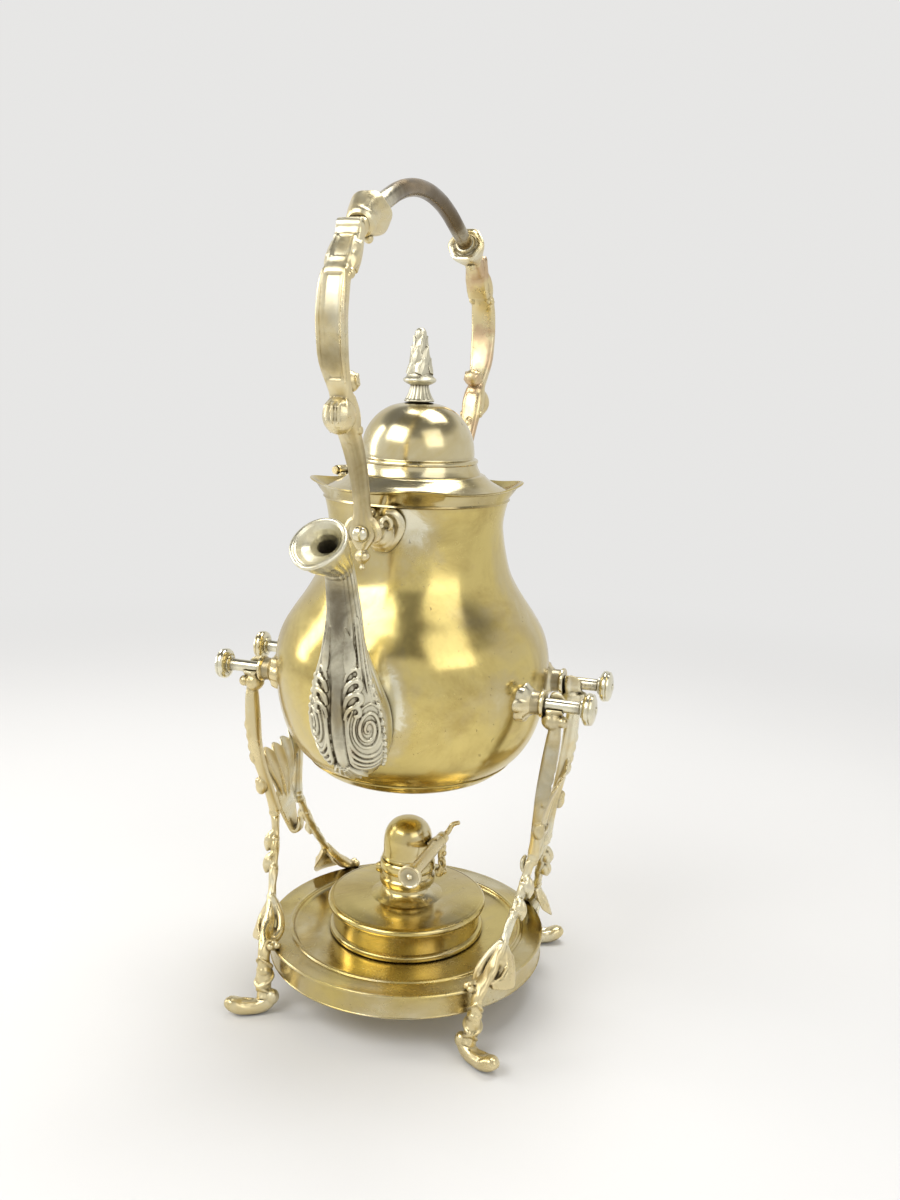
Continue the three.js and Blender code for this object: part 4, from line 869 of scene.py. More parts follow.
def arm_knops():
    """A coiled knob on the inner side, over the pear-shaped knop with its leaves."""
    z = PIVOT_Z
    yield ball((0, -78.6, z + 59.8), 4.1, (1.12, 1, 1.05))
    for x in (-1, 1):
        coil = []
        for a in np.linspace(0, 5.6, 30):
            r = 3.5 - 0.52 * a
            coil.append((x * 4.7 * sqrt(1 - (r / 4.3) ** 2), -78.6 + r * cos(a), z + 59.8 + r * sin(a)))
        yield ridge(coil, 0.6)
    yield ball((0, -86.6, z + 47.4), 6.3, (1.02, 1, 1.12))
    yield ball((0, -82.6, z + 51.5), 5, (1.05, 0.9, 1.2))
    for k in range(5):
        x = -4.6 + 2.3 * k
        out = -93.0 + 0.16 * x * x
        yield ridge([(x * 0.6, -86.5, 54.8), (x * 0.95, out, 51), (x, out - 0.4, 45.8), (x * 0.7, -87, 40.8)], 0.6,
            base=z)


def arm_straps():
    """The collar under the knop, the strap's lips, leaves that grip the bar, and ears at the foot."""
    z = PIVOT_Z
    yield Limb([(-5.6, -77.6, 41.8, 1.5, 1.6), (0, -77.9, 41.6, 1.7, 1.8), (5.6, -77.6, 41.8, 1.5, 1.6)],
        (0, 0.5, 1), base=z).part(16, 4)
    for x in (-1, 1):
        edge = [tuple(ARM.point(u, -pi / 2 + x * 0.72, 0.2)) for u in np.linspace(12, 17.2, 50)]
        yield ridge(edge, 0.85)
        # leaves that grip the bar beside the upper panel
        yield leaf([(x * 4.6, -88.5, 99), (x * 5.6, -85.6, 103.5), (x * 5.4, -81.6, 108.5), (x * 4, -77, 112.6)],
            [1.4, 3, 2.6, 0.8], (x, -0.1, 0.2), 1, 3, 0.25, base=z)
        yield ball((x * 4.9, -88.6, z + 98.4), 1.7, (1, 1, 1.2))
        # ears at the foot of the strap
        yield leaf([(x * 2, -62.4, 6.5), (x * 5.2, -62.6, 3.4), (x * 6.6, -62.4, -0.5), (x * 5.2, -62.2, -3.6)],
            [1.6, 2.2, 1.8, 0.8], (0, -1, 0), 1.3, base=z)
    yield Limb([(-6, -90.6, 97.3, 1, 1.3), (0, -91, 97.2, 1.2, 1.5), (6, -90.6, 97.3, 1, 1.3)], (0, 0.6, 0.8),
        base=z).part(14, 4)


def arm_head():
    """The upright block with a framed panel, ending in a scroll beside the grip's cup."""
    z = PIVOT_Z
    block = Limb([(0, -84.2, 99.5, 5.4, 2.2), (0, -81.4, 104.5, 5.6, 2.7), (0, -79.6, 110, 5.6, 2.7),
        (0, -77.8, 116.4, 5.3, 2.4)], RIGHT, 0.45, base=z).part(32, 6)
    yield block
    scroll = turned([(0, -5), (1, -5), (1.3, -4.5), (1.7, -4.5), (2, -5.1), (2.8, -4.8), (3, 0), (2.8, 4.8),
        (2, 5.1), (1.7, 4.5), (1.3, 4.5), (1, 5), (0, 5)], 36)
    yield along_x(scroll, (0, -77.8, z + 116))
    for x in (-1, 1):
        yield ridge([(x * 4.5, -84.6, 101.6), (x * 4.7, -83.4, 104.5), (x * 4.7, -82, 108.5),
            (x * 4.5, -80.8, 112.6)], 0.9, taper=0.9, base=z)
    for h, y in ((102, -85.2), (112.2, -81.6)):
        yield ridge([(-4.4, y + 0.6, h), (0, y + 0.2, h), (4.4, y + 0.6, h)], 0.85, taper=0.9, base=z)


def arm_foot():
    """The scroll on the outer side and the drop under the eye."""
    z = PIVOT_Z
    curl = [(0, -74.6 - 3.0 * cos(a) * (1 - a / 9), z + 36.5 + 3.4 * sin(a) * (1 - a / 9)) for a in np.linspace(0,
        5.6, 26)]
    yield ridge(curl, 1.35, taper=0.7)
    drop = turned([(0, -15.2), *smooth([(0.9, -14.9), (1.3, -14), (0.8, -12.9), (2.9, -10.6), (3.1, -8.6),
        (1.5, -6.4), (1.9, -5)], 4), (0, -4)], 24)
    yield (drop[0] + np.array([0, EYE_Y, z]), drop[1])


def handle_arm(side, place):
    """The front arm, or its mirror image at the rear."""
    parts = [ARM.part(48, 8, arm_relief), *arm_knops(), *arm_straps(), *arm_head(), *arm_foot()]
    parts = parts if side < 0 else [mirrored(p, 1) for p in parts]
    cast(f"handle_{place}_arm", parts, "handle", CAST if side < 0 else REAR_ARM, f"handle_arm_{place}", grain=0.3)


def handle_ferrule(side, place):
    """The faceted cup that holds the bar, and the knob at its foot."""
    profile = [(0, -1), *smooth([(4.4, -1.2), (5.6, 0.2), (6.2, 2.4), (7.2, 5.2), (8.3, 8.4), (8.75, 10.4)], 4),
        (8.7, 11.2), (8.2, 11.7), (7.2, 11.8), *smooth([(6.6, 11.5), (5.8, 10.8), (4.9, 11), (4.4, 12.6)], 3),
        (3.75, 12.8), (3.75, 9), (0, 9)]

    def facets(i, a, r, h):
        return r * (1 + 0.03 * cos(6 * a) * (1 if 2 < h < 12 and r > 5 else 0)), h

    turn = np.array(Vector((0, 0, 1)).rotation_difference(Vector(LEAN)).to_matrix())
    points, faces = turned(profile, 96, facets)
    knob = ball(CUP + LEAN * 5 + np.array([1.5, 0.6, -7.2]), 1.9)
    cup = joined([(points @ turn.T + CUP, faces), knob])
    piece(f"handle_{place}_ferrule", cup if side < 0 else mirrored(cup, 1), "handle", CAST, f"handle_ferrule_{place}")


def handle_bar():
    """A round bar from cup to cup, kept under the CAD grip's top."""
    radius = 3.7
    end = CUP + LEAN * 9.3
    mouth = CUP + LEAN * 17.3
    half = [tuple(end), tuple(mouth), (0, 0.62 * mouth[1], mouth[2] + 8.8), (0, 0.31 * mouth[1], mouth[2] + 13.2)]
    whole = [*half, (0, 0, mouth[2] + 14.6), *[(x, -y, h) for x, y, h in reversed(half)]]
    top = extent("handle_grip")[1]
    high = max(h for x, y, h in smooth(whole, 12)) + radius + 0.05
    whole = [(x, y, h - max(0, high - top) * min(1, max(0, (h - mouth[2]) / 14))) for x, y, h in whole]
    piece("handle_bar", Limb([(*p, radius, radius) for p in whole], RIGHT).part(40, 12), "handle", GRIP, "handle_grip")


def handle():
    for side, place in SIDES:
        handle_arm(side, place)
        handle_ferrule(side, place)
    handle_bar()


def handle_mounts():
    z = PIVOT_Z
    for side, place in SIDES:
        lug = [Limb([(0, -35.5, -2.5, 7, 9), (0, -40.2, -2.8, 6.8, 8.6), (0, -42.6, -2, 5.6, 7),
            (0, -45.6, 0, 3.8, 4.8), (0, -50, 0.3, 3.2, 4.1), (0, -55, 0, 3.6, 5), (0, -59.4, 0, 3.6, 5.8)], RIGHT,
            0.9, base=z).part(32, 6)]
        for x in (-1, 1):
            lug.append(leaf([(x * 2.4, -44, 6), (x * 5.8, -42.8, 5.4), (x * 7.8, -41.2, 1), (x * 6, -41.6, -5),
                (x * 2, -42.4, -10.4)], [1.4, 2.2, 2.4, 2, 0.8], (x * 0.3, -1, 0), 1.2, base=z))
            curl = [(x * (4.2 + 1.9 * cos(a) * (1 - a / 8)), -47.0 - 0.9 * a,
                z + 2.5 + 2.6 * sin(a) * (1 - a / 8)) for a in np.linspace(-1.5, 4.4, 22)]
            lug.append(ridge(curl, 1.1, taper=0.7))
        for k in range(3):
            lug.append(ridge([(-3.4, -56.9 + 1.1 * k, -5.4), (-4.1, -56.9 + 1.1 * k, 0),
                (-3.4, -56.9 + 1.1 * k, 5.4)], 0.45, base=z))
        cast(f"handle_{place}_lug", lug if side < 0 else [mirrored(p, 1) for p in lug], "kettle", CAST,
            f"handle_lug_{place}", grain=0.28)
        pin = along_y(turned([(0, 49), (1.64, 49), (1.64, 64.7), (3.3, 64.7), (3.4, 65.4), (3, 66.6), (1.9, 67.6),
            (0, 68.1)], 40), (0, 0, z))
        pin = pin if side > 0 else mirrored(pin, 1)
        piece(f"handle_{place}_pin", pin, "kettle", PINS, f"handle_pin_{place}")


def lid_hinge():
    """The hinge is drawn at the left and turned to its place midway between two corners of the rim."""
    x, z = -HINGE_R, HINGE_Z
    place = np.array(Matrix.Rotation(HINGE_TURN, 4, "Z"))
    barrel = smooth([(2, 0), (2.3, 0.25), (2.3, 4.2), (2, 4.5)], 3)
    for side in (-1, 1):
        ring = along_y(turned([(1.25, 0), *barrel, (1.25, 4.5)], 40), (x, side * 6.4 - 2.25, z))
        base = Limb([(x + 0.9, side * 6.4, -1.4, 2.2, 1.3), (x + 2.2, side * 6.4, -3.2, 2.4, 1.2),
            (x + 3.2, side * 6.4, -6.8, 2.2, 1)], BACK, 0.6, base=z).part(20, 5)
        piece(f"lid_hinge_ear_{'rear' if side > 0 else 'front'}", moved(joined([ring, base]), place), "kettle",
            SMALL, "lid_hinge_kettle_leaf")
    ring = along_y(turned([(1.25, 0), (2, 0), (2.3, 0.25), (2.3, 7.1), (2, 7.4), (1.25, 7.4)], 40), (x, -3.7, z))
    tongue = Limb([(x + 1.5, 0, 0.5, 3.4, 1), (x + 3.6, 0, -0.3, 3.6, 0.9), (x + 6.8, 0, -1.5, 4.6, 0.8),
        (x + 9.8, 0, -1.7, 3, 0.7)], BACK, 0.6, base=z).part(20, 5)
    piece("lid_hinge_tongue", moved(joined([ring, tongue]), place), "lid", SMALL, "lid_hinge_lid_leaf")


# The pins the kettle hangs by, and their bosses
def hanging_pins():
    shell = [(0, 54.5), (8.6, 54.5), (8.9, 57.5), (8.2, 60), (6.4, 61.6), (5.9, 62.4)]
    barrel = [(5.4, 62.8), (5.2, 63.6), (5.2, 66), (5.7, 66.5), (6.1, 67), (6.1, 67.7), (5.6, 68.2), (2, 68.3),
        (0, 68.3)]

    def scallop(i, a, r, h):
        if i < 4 and r > 6:
            return r * (1 + 0.11 * abs(cos(4 * a)) - 0.04), h
        return r, h

    pin = [(0, 64.6), (2, 64.6), (2, 68.6), (2.8, 68.7), *[(2.8, v) for v in (72, 76, 80, 83.6)], (3.6, 84.2),
        (4.1, 84.4), (4.1, 85), (5.6, 85.3), (6.7, 86), (7.1, 86.8), (7.1, 87.7), (6.7, 88.2), (6.9, 88.7),
        (6.6, 89.4), (5.2, 90.1), (3.2, 90.5), (1.7, 90.6), (1.4, 91), (0, 91)]
    for side, hand in HANDS:
        for end, place in SIDES:
            centre = (0, end * PIN_Y, PIN_Z)
            boss = along_x(turned([*shell, *barrel], 96, scallop), centre)
            rod = along_x(turned(pin, 64), centre)
            if side < 0:
                boss, rod = mirrored(boss, 0), mirrored(rod, 0)
            where = f"{place}_{hand}"
            piece(f"boss_{where}", boss, "kettle", SMALL, f"pin_boss_{where}")
            piece(f"pin_{where}", rod, "kettle", PINS, f"hanging_pin_{where}")


# Stand
def dish():
    base = extent("base_dish")[0]
    skirt = smooth([(65.6, 0), (65.9, 0.6), (65.6, 1.2), (65.9, 5.4), (66.4, 9.2), (66.8, 10.6)], 4, base=base)
    brim = raised([(66.7, -0.5), (66.3, 0), (65.6, 0.05), (64.9, -0.1)], DISH_Z)
    ring = smooth([(60, 0.1), (56.9, 0.25), (56.2, 0.9), (55.4, 1.15), (54.6, 0.9), (54.1, -0.4), (53.2, -1.2)], 5,
        base=DISH_Z)
    floor = [*smooth([(51.5, -1.38), (40, -1.45), (20, -1.4)], 4, base=DISH_Z), (0, DISH_Z - 1.38)]
    under = [*raised([(0, -2.9), (52.6, -2.9), (54.2, -1.4), (64.6, -1.5), (65, -2.4)], DISH_Z), (64.2, base)]
    piece("dish_spinning", turned([*skirt, *brim, *ring, *floor, *under], 192), "stand", DISH, "base_dish")


STEM = Limb([*raised([(65, -12.2, -71.5, 2.7, 2.7), (64.8, -12.3, -77, 2, 2)], PIN_Z),
    *raised([(63.9, -13.8, 49, 2.1, 2.1), (62.9, -15.9, 43, 1.8, 1.8), (61.8, -18.6, 37, 2.3, 2.2),
    (60.6, -21.6, 31, 1.8, 1.8), (59.4, -25, 25.5, 2.2, 2.1), (58.1, -28.6, 19.5, 1.8, 1.8),
    (56.8, -32.6, 14, 2.2, 2.1), (55.4, -37.2, 8.8, 2.8, 2.4), (54, -42, 5, 3.1, 2.4), (52.8, -46.2, 2, 2.9, 2.4),
    (51.9, -48.9, -1.5, 2.9, 2.5), (51.3, -50.2, -7, 3, 2.4), (50.8, -51.2, -13, 3.7, 3.1),
    (50.2, -52.2, -18, 3.1, 2.9), (49.6, -53.2, -21.8, 3.4, 3.2)], DISH_Z)], (0.72, -0.69, 0), 0.9)


def leg_bars():
    """The strap from the fork down to the shell, the knobbly stem from there to the foot, and its knops."""
    d, c = DISH_Z, PIN_Z
    strap = Limb([(73.4, -18.9, -5, 3, 3.2), (73.2, -19, -9.5, 2.5, 2.6), (72.9, -19.8, -15, 3.1, 3.1),
        (72, -20.8, -24, 3.4, 3.4), (70.8, -21.8, -33, 3.3, 3.2), (69.4, -21.6, -41, 2.9, 2.8),
        (68, -19.6, -50, 2.6, 2.4), (66.7, -16.8, -58, 2.4, 2.2), (65.8, -14, -66, 2.5, 2.3),
        (65, -12.2, -72.5, 2.7, 2.7)], (0, -1, 0), 0.75, base=c)

    def knobbly(u, turn):
        return 0.13 * sin(3 * turn + 4.2 * u) + 0.1 * sin(2 * turn - 3.1 * u)

    parts = [strap.part(28, 6), STEM.part(28, 8, knobbly)]
    for x, y, z, size in ((65, -12.6, c - 74.2, 3), (62.4, -17.2, d + 40.2, 2.5), (60, -23.4, d + 28.3, 2.5),
            (57.6, -30.4, d + 16.8, 2.5), (51.2, -50.6, d - 9.4, 3.7), (50.4, -52, d - 15.6, 3.6)):
        parts.append(ball((x, y, z), size, (0.95, 0.95, 0.75)))
    return parts


def leg_buds():
    """Solid buds on the outer side of the stem."""
    d = DISH_Z
    for x, y, z in ((64.4, -18.2, d + 38.5), (62.6, -23, d + 29.5)):
        yield ball((x, y, z), 2.5, (0.95, 0.9, 1.5))
        yield ball((x + 0.9, y - 0.3, z + 1.6), 1.5, (0.9, 0.9, 1.3))
        yield leaf([(x - 2, y + 1.6, 5), (x + 0.6, y + 0.4, 3.4), (x + 1.9, y - 0.4, -0.4), (x + 0.4, y - 1, -4.4)],
            [0.9, 1.7, 1.9, 0.5], (0.9, -0.4, 0.1), 1.2, base=z)


def leg_branch():
    """A veined leaf and a forked branch that lie over the edge of the dish."""
    d = DISH_Z
    yield leaf([(57.8, -30.2, 15), (60, -31, 10), (61.2, -33.8, 5.6), (59.8, -38.2, 2.8), (56, -43.6, 2.2)],
        [2.4, 5.8, 7, 6, 2.0], (0.7, 0.1, 0.75), 1.6, 3, 0.18, 0.12, base=d)
    for k in (-1, 0, 1):
        vein = zip([(57.8, -30.2, 15.4), (60.8, -30.9, 11), (62.2, -33.7, 6.6), (60.8, -38.1, 3.8),
            (57, -43.4, 3.2)], (0.4, 1, 1.2, 1, 0.3))
        line = [(x - 1.0 * k * b, y - 1.5 * k * b, d + h + 1.1 * k * b) for (x, y, h), b in vein]
        yield ridge(line, 0.85 if k == 0 else 0.7)
    yield Limb([(57.4, -31, 17.5, 1.6, 1.6), (54.2, -31.8, 13.6, 2.1, 1.9), (51, -34.2, 9.4, 2, 1.8),
        (49.2, -37.8, 5.4, 2.4, 1.9), (49.2, -42, 3, 2.2, 1.8), (50.6, -46, 2, 2.2, 1.6)], (0.7, 0.7, 0), 0.9,
        base=d).part(22, 6)
    yield Limb([(55.4, -37, 8, 2, 1.8), (52.4, -40.6, 3.6, 2.2, 1.8), (49.4, -44.6, 1.8, 2.4, 1.6),
        (47.4, -47.6, 1.6, 2.9, 1.5)], UP, 0.9, base=d).part(20, 5)
    for x, y in ((48.6, -48.8), (46.2, -46.6)):
        yield ball((x, y, d + 1.8), 1.8)


def leg_foot():
    """Crossed bands round the ankle, the heel, the sole and the cleft toe."""
    for sense in (1, -1):
        twist = [STEM.point(u, sense * 2.6 * (u - 12.3) + 0.6, 0.35) for u in np.linspace(12.3, 15.4, 40)]
        yield ridge(twist, 0.95)
    yield Limb([(46.6, -51.8, 7.6, 2.8, 2.6), (48.4, -52.8, 5.2, 3.5, 3.3), (51.4, -54.6, 3.7, 3.7, 3.4),
        (54.8, -56.6, 3.2, 3.8, 3), (58.2, -58.4, 3.6, 4.1, 3.2), (61.2, -60, 4.9, 4, 3.4),
        (63.8, -61.3, 6.4, 3, 2.7), (65, -61.9, 7.4, 1.2, 1.2)], (-0.45, -0.89, 0), 0.8).part(28, 6)
    yield ball((46.2, -52, 7.8), 3.3, (1, 1, 1.1))
    for t in (-1, 1):
        yield ridge([(53.0 - t * 0.9, -55.6 - t * 1.5, 6), (56.4 - t * 0.9, -57.4 - t * 1.7, 5.6),
            (60.2 - t * 0.8, -59.4 - t * 1.6, 6.2), (63.2 - t * 0.3, -61.0 - t * 0.6, 8)], 1.3)


def leg():
    """The right front leg from the knuckle under the pin to the toe."""
    c = PIN_Z
    parts = [*leg_bars(), *leg_buds(), *leg_branch(), *leg_foot()]
    parts.append(ball((71.6, -19.6, c - 6.6), 4.9, (0.92, 0.95, 0.92)))
    parts.append(ball((76.8, -20.2, c - 6.8), 2.6, (0.9, 1, 1)))
    return parts


def fork():
    """The saddle of a front pin: a low wall in front and a taller prong behind."""
    c = PIN_Z
    rings = []
    for x, outer, tall in ((69.2, 4.6, 1.5), (69.8, 5.4, 3), (71.2, 5.5, 3.6), (72.2, 4.7, 3.6), (74.6, 4.4, 3),
            (76, 4.2, 1.6), (76.6, 3.8, 0.6)):
        turns = [radians(12 - 172 * k / 23) for k in range(24)]
        lifts = [tall if k == 0 else 0.55 * tall if k == 1 else 0 for k in range(24)]
        ring = [(x, -PIN_Y + outer * cos(a), c + outer * sin(a) + up) for a, up in zip(turns, lifts)]
        ring += [(x, -PIN_Y + 3.1 * cos(a), c + 3.1 * sin(a) + up) for a, up in zip(reversed(turns), reversed(lifts))]
        rings.append(ring)
    return lofted(rings)


def shell_fan():
    """The ribbed shell between the straps: deep folds with a scalloped upper edge."""
    c = PIN_Z
    columns, rows = 73, 24
    outer, inner = [], []
    for i in range(rows):
        t = i / (rows - 1)
        for j in range(columns):
            s = -1 + 2 * j / (columns - 1)
            flute = abs(cos(2.5 * pi * s)) ** 0.8
            top = c - 44.0 + 3.6 * flute - 3.0 * (1 - s * s) + 8.5 * max(0, abs(s) - 0.75) / 0.25
            low = c - 76.0 + 3.0 * s * s
            z = low + (top - low) * t
            wide = 4.6 + 17.0 * (0.5 - 0.5 * cos(pi * min(1, t * 0.95 + 0.08)))
            x = 65.2 + 4.0 * t + 1.4 * t * t - 2.2 * (1 - s * s) * sin(pi * t)
            swell = 2.6 * (flute - 0.4) * (0.25 + 0.75 * t)
            outer.append((x + swell + 0.7, s * wide, z))
            inner.append((x + swell - 0.8, s * wide, z))
    points = outer + inner
    size = rows * columns
    faces = []
    for i in range(rows - 1):
        for j in range(columns - 1):
            a = i * columns + j
            faces.append((a, a + 1, a + columns + 1, a + columns))
            faces.append((size + a, size + a + columns, size + a + columns + 1, size + a + 1))
    edge = [*range(columns), *[k * columns + columns - 1 for k in range(1, rows)],
        *[(rows - 1) * columns + k for k in range(columns - 2, -1, -1)], *[k * columns for k in range(rows - 2, 0, -1)]]
    for k, a in enumerate(edge):
        b = edge[(k + 1) % len(edge)]
        faces.append((a, size + a, size + b, b))
    return np.array(points, float), faces


def side_frames():
    c = PIN_Z
    corner_parts = [*leg(), fork()]
    parts = [*corner_parts, *[mirrored(p, 1) for p in corner_parts], shell_fan()]
    for end in (-1, 1):
        # leafy outer edge of the strap, with a rolled bud
        for k in range(4):
            z = c - 27 - 5.2 * k
            x = 73.4 - 0.85 * k
            parts.append(leaf([(x - 1.6, end * 21.4, 3.4), (x + 0.6, end * 22.4, 1), (x + 0.4, end * 22.6, -1.8),
                (x - 1.2, end * 21.6, -4)], [1, 2.2, 1.9, 0.6], (0.9, end * 0.4, 0.1), 1.2, base=z))
        parts.append(ball((68.4, end * 19.6, c - 58.5), 3.1, (0.9, 0.9, 1.4)))
        parts.append(ball((69.6, end * 20.4, c - 56.2), 1.8, (0.9, 0.9, 1.2)))
    tongue = [(66.4, 0, -66, 8.5, 1.4), (65.4, 0, -71.5, 8.6, 1.7), (63.6, 0, -78, 7, 1.6),
        (61.8, 0, -83.5, 5.2, 1.5), (59.9, 0, -87, 4.2, 1.4), (57.8, 0, -86.2, 3.5, 1.3), (57.3, 0, -82.8, 2.5, 1.2),
        (58.4, 0, -80.4, 0.9, 0.8)]
    parts.append(Limb(tongue, BACK, 0.8, base=c).part(32, 6))
    parts.append(ball((66.8, 0, c - 71), 3, (0.8, 1.2, 1)))
    for y in (-2.4, 0, 2.4):
        parts.append(ridge([(67.6, y * 1.8, -68), (66.6, y * 1.5, -73.2), (64.8, y * 1.2, -79.8),
            (62.8, y * 0.8, -84.4)], 0.8, base=c))
    for side, hand in ((1, "right"), (-1, "left")):
        own = parts if side > 0 else [mirrored(p, 0) for p in parts]
        whole = cast(f"{hand}_frame", own, "stand", CAST, f"side_frame_{hand}", grain=0.38)
        for v in whole.data.vertices:
            v.co.z = max(v.co.z, 0)


# Lamp
def lamp_reservoir():
    f = extent("lamp_bowl")[0]
    foot = [(0, 0), *smooth([(35.6, 0), (36.9, 0.3), (37.2, 1.2), (37, 2.4), (36.2, 3)], 3), (35.5, 3.4), (35.5, 11.9)]
    piece("lamp_reservoir", turned([*foot, (34.1, 11.9), (34.1, 1.5), (0, 1.5)], base=f), "lamp", LAMP, "lamp_bowl")


def lamp_top():
    f, top = extent("lamp_bowl")[0], extent("lamp_neck")[0] - 0.3
    edge = smooth([(35.9, 12.2), (37.5, 12.7), (38, 13.9), (37.9, 15), (37.2, 15.9), (36.2, 16.3)], 4, base=f)
    cover = [(7.6, f + 12.2), *edge, (35.9, f + 16.2), (35.4, f + 16.35),
        *smooth([(34.6, f + 16.45), (28, top + 0.2), (20, top + 0.3), (17.4, top + 0.28)], 5), (7.6, top + 0.28)]
    piece("lamp_top", turned(cover), "lamp", LAMP, "lamp_cover")


def lamp_throat():
    n, m = extent("lamp_neck")
    neck = smooth([*raised([(17.3, 0), (16.2, 0.5), (14, 1.6), (12, 3.2), (11.35, 4.6)], n), (11.3, m)], 5)
    piece("lamp_throat", turned([(7.5, n), *neck, (7.5, m)], 96), "lamp", LAMP, "lamp_neck")


def burner_ring():
    n, m = extent("burner_collar")
    ring = [(7.5, 0), (12.4, 0), (13, 0.3), (13.3, 1), (13.3, 3.4), (12.9, 3.9), (12.5, 4.3), (12.4, 6.6),
        (12.7, 7.1), (13.2, 7.6), (13.3, 8.6), (13.2, 10.9), (12.8, 11.6)]
    collar = turned([*raised(ring, n), (12.3, m), (7.5, m)], 96)
    ear = Limb([(-11.5, -2, 5.6, 2.4, 1.9), (-13.4, -2.6, 5.6, 2.6, 2), (-15, -3, 5.6, 1.8, 1.4)], UP, 0.7,
        base=n).part(20, 4)
    piece("burner_ring", joined([collar, ear]), "lamp", LAMP, "burner_collar")


def burner_tube():
    n, m = extent("wick_tube")
    flange = extent("burner_collar")[1] + 0.3
    tube = [(5.55, n), (7.1, n), (7.1, flange), (8.7, flange), (8.85, flange + 0.6), (8.6, flange + 1.1),
        (7.2, flange + 1.3), (7.1, m - 0.2), (6.6, m), (5.55, m)]
    piece("burner_tube", turned(tube, 64), "lamp", LAMP, "wick_tube")


def cotton_wick():
    n, m = extent("wick")

    def strands(i, a, r, h):
        return r * (1 + 0.05 * cos(9 * a + 0.9 * h)), h

    tall = [(5.1, n + 0.2 + (m - n - 2.6) * k / 30) for k in range(31)]
    piece("cotton_wick", turned([(0, n), (4.8, n), *tall, (4.2, m - 0.8), (2, m - 0.1), (0, m)], 72, strands),
        "lamp", WICK, "wick")


def lamp():
    for build in (lamp_reservoir, lamp_top, lamp_throat, burner_ring, burner_tube, cotton_wick):
        build()


def snuffer_dome():
    n, m = extent("snuffer_cap")
    h = m - n
    outer = [*raised([(11.7, 0), (12.2, 0.2), (12.3, 0.9), (12, 1.5), (11.8, 1.8)], n)]
    outer += smooth([(11.75, n + 2.2), (11.7, n + 0.42 * h), (11.1, n + 0.62 * h), (9.7, n + 0.78 * h),
        (7.4, n + 0.9 * h), (4.2, n + 0.975 * h), (0, m)], 6)
    inner = smooth([(0, m - 1.2), (4, n + 0.92 * h), (6.9, n + 0.84 * h), (8.9, n + 0.73 * h), (10.2, n + 0.58 * h),
        (10.7, n + 0.4 * h), (10.8, n)], 4)
    piece("snuffer_dome", turned([*inner, *outer], 112), "snuffer", LAMP, "snuffer_cap")


SLEEVE_LOW, SLEEVE_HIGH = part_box("snuffer_sleeve")
SLEEVE_X, SLEEVE_Z = (SLEEVE_LOW.x + SLEEVE_HIGH.x) / 2 / MM, (SLEEVE_LOW.z + SLEEVE_HIGH.z) / 2 / MM


def snuffer_tube():
    """The sleeve's knurled barrel."""
    x, z = SLEEVE_X, SLEEVE_Z
    a, b = extent("snuffer_sleeve", 1)
    sleeve = [(ROD_BORE, a), (2.8, a), (3, a + 0.5), (3, a + 1.4), (2.55, a + 2), (2.6, a + 2.8)]
    sleeve += [(2.8 + 0.16 * (k % 2), a + 3.4 + (b - a - 6.4) * k / 40) for k in range(41)]
    sleeve += [(3, b - 2.4), (3, b - 0.3), (2.8, b), (ROD_BORE, b)]
    piece("snuffer_tube", along_y(turned(sleeve, 48), (x, 0, z)), "snuffer", SMALL, "snuffer_sleeve")


def snuffer_knob():
    x, z = SLEEVE_X, SLEEVE_Z
    a, b = extent("snuffer_disc", 1)
    disc = [(0, a), (0.6, a), (1.2, a + 0.5), (1.5, a + 0.9), (2.4, a + 0.95), (4.2, a + 0.75), (4.6, a + 0.4),
        (5.1, a + 0.5), (5.4, a + 0.9), (5.4, b - 0.1), (5.2, b), (ROD_BORE, b), (ROD_BORE, b - 0.7), (0, b - 0.7)]
    piece("snuffer_knob", along_y(turned(disc, 64), (x, 0, z)), "snuffer", SMALL, "snuffer_disc")


def snuffer_spindle():
    """The rod through the sleeve, bent up behind it."""
    x, z = SLEEVE_X, SLEEVE_Z
    rod_r = 1.32
    a = extent("snuffer_rod", 1)[0]
    path = [(x, a, z), (x, -10, z), (x, 6, z), (x, 9, z), (x + 1.2, 10.6, z + 1.5), (x + 3, 11.3, z + 4.8),
        (x + 6.3, 11.5, z + 6.4)]
    rod = Limb([(*p, rod_r * w, rod_r * w) for p, w in zip(path, (1, 1, 1, 1, 1, 0.9, 0.75))],
        UP + 0.2 * RIGHT).part(24, 8)
    piece("snuffer_spindle", rod, "snuffer", SMALL, "snuffer_rod")


def snuffer_leaf():
    x, z = SLEEVE_X, SLEEVE_Z
    strap = Limb([(x - 3.9, -2.5, 0.2, 2.6, 0.9), (x - 2.9, -2.5, 0.6, 2.6, 1.1), (x - 1.2, -2.5, 2.6, 2.5, 0.7),
        (x + 0.6, -2.5, 3.1, 2.4, 0.5)], BACK, 0.6, base=z).part(20, 5)
    piece("snuffer_leaf", strap, "snuffer", SMALL, "snuffer_strap")


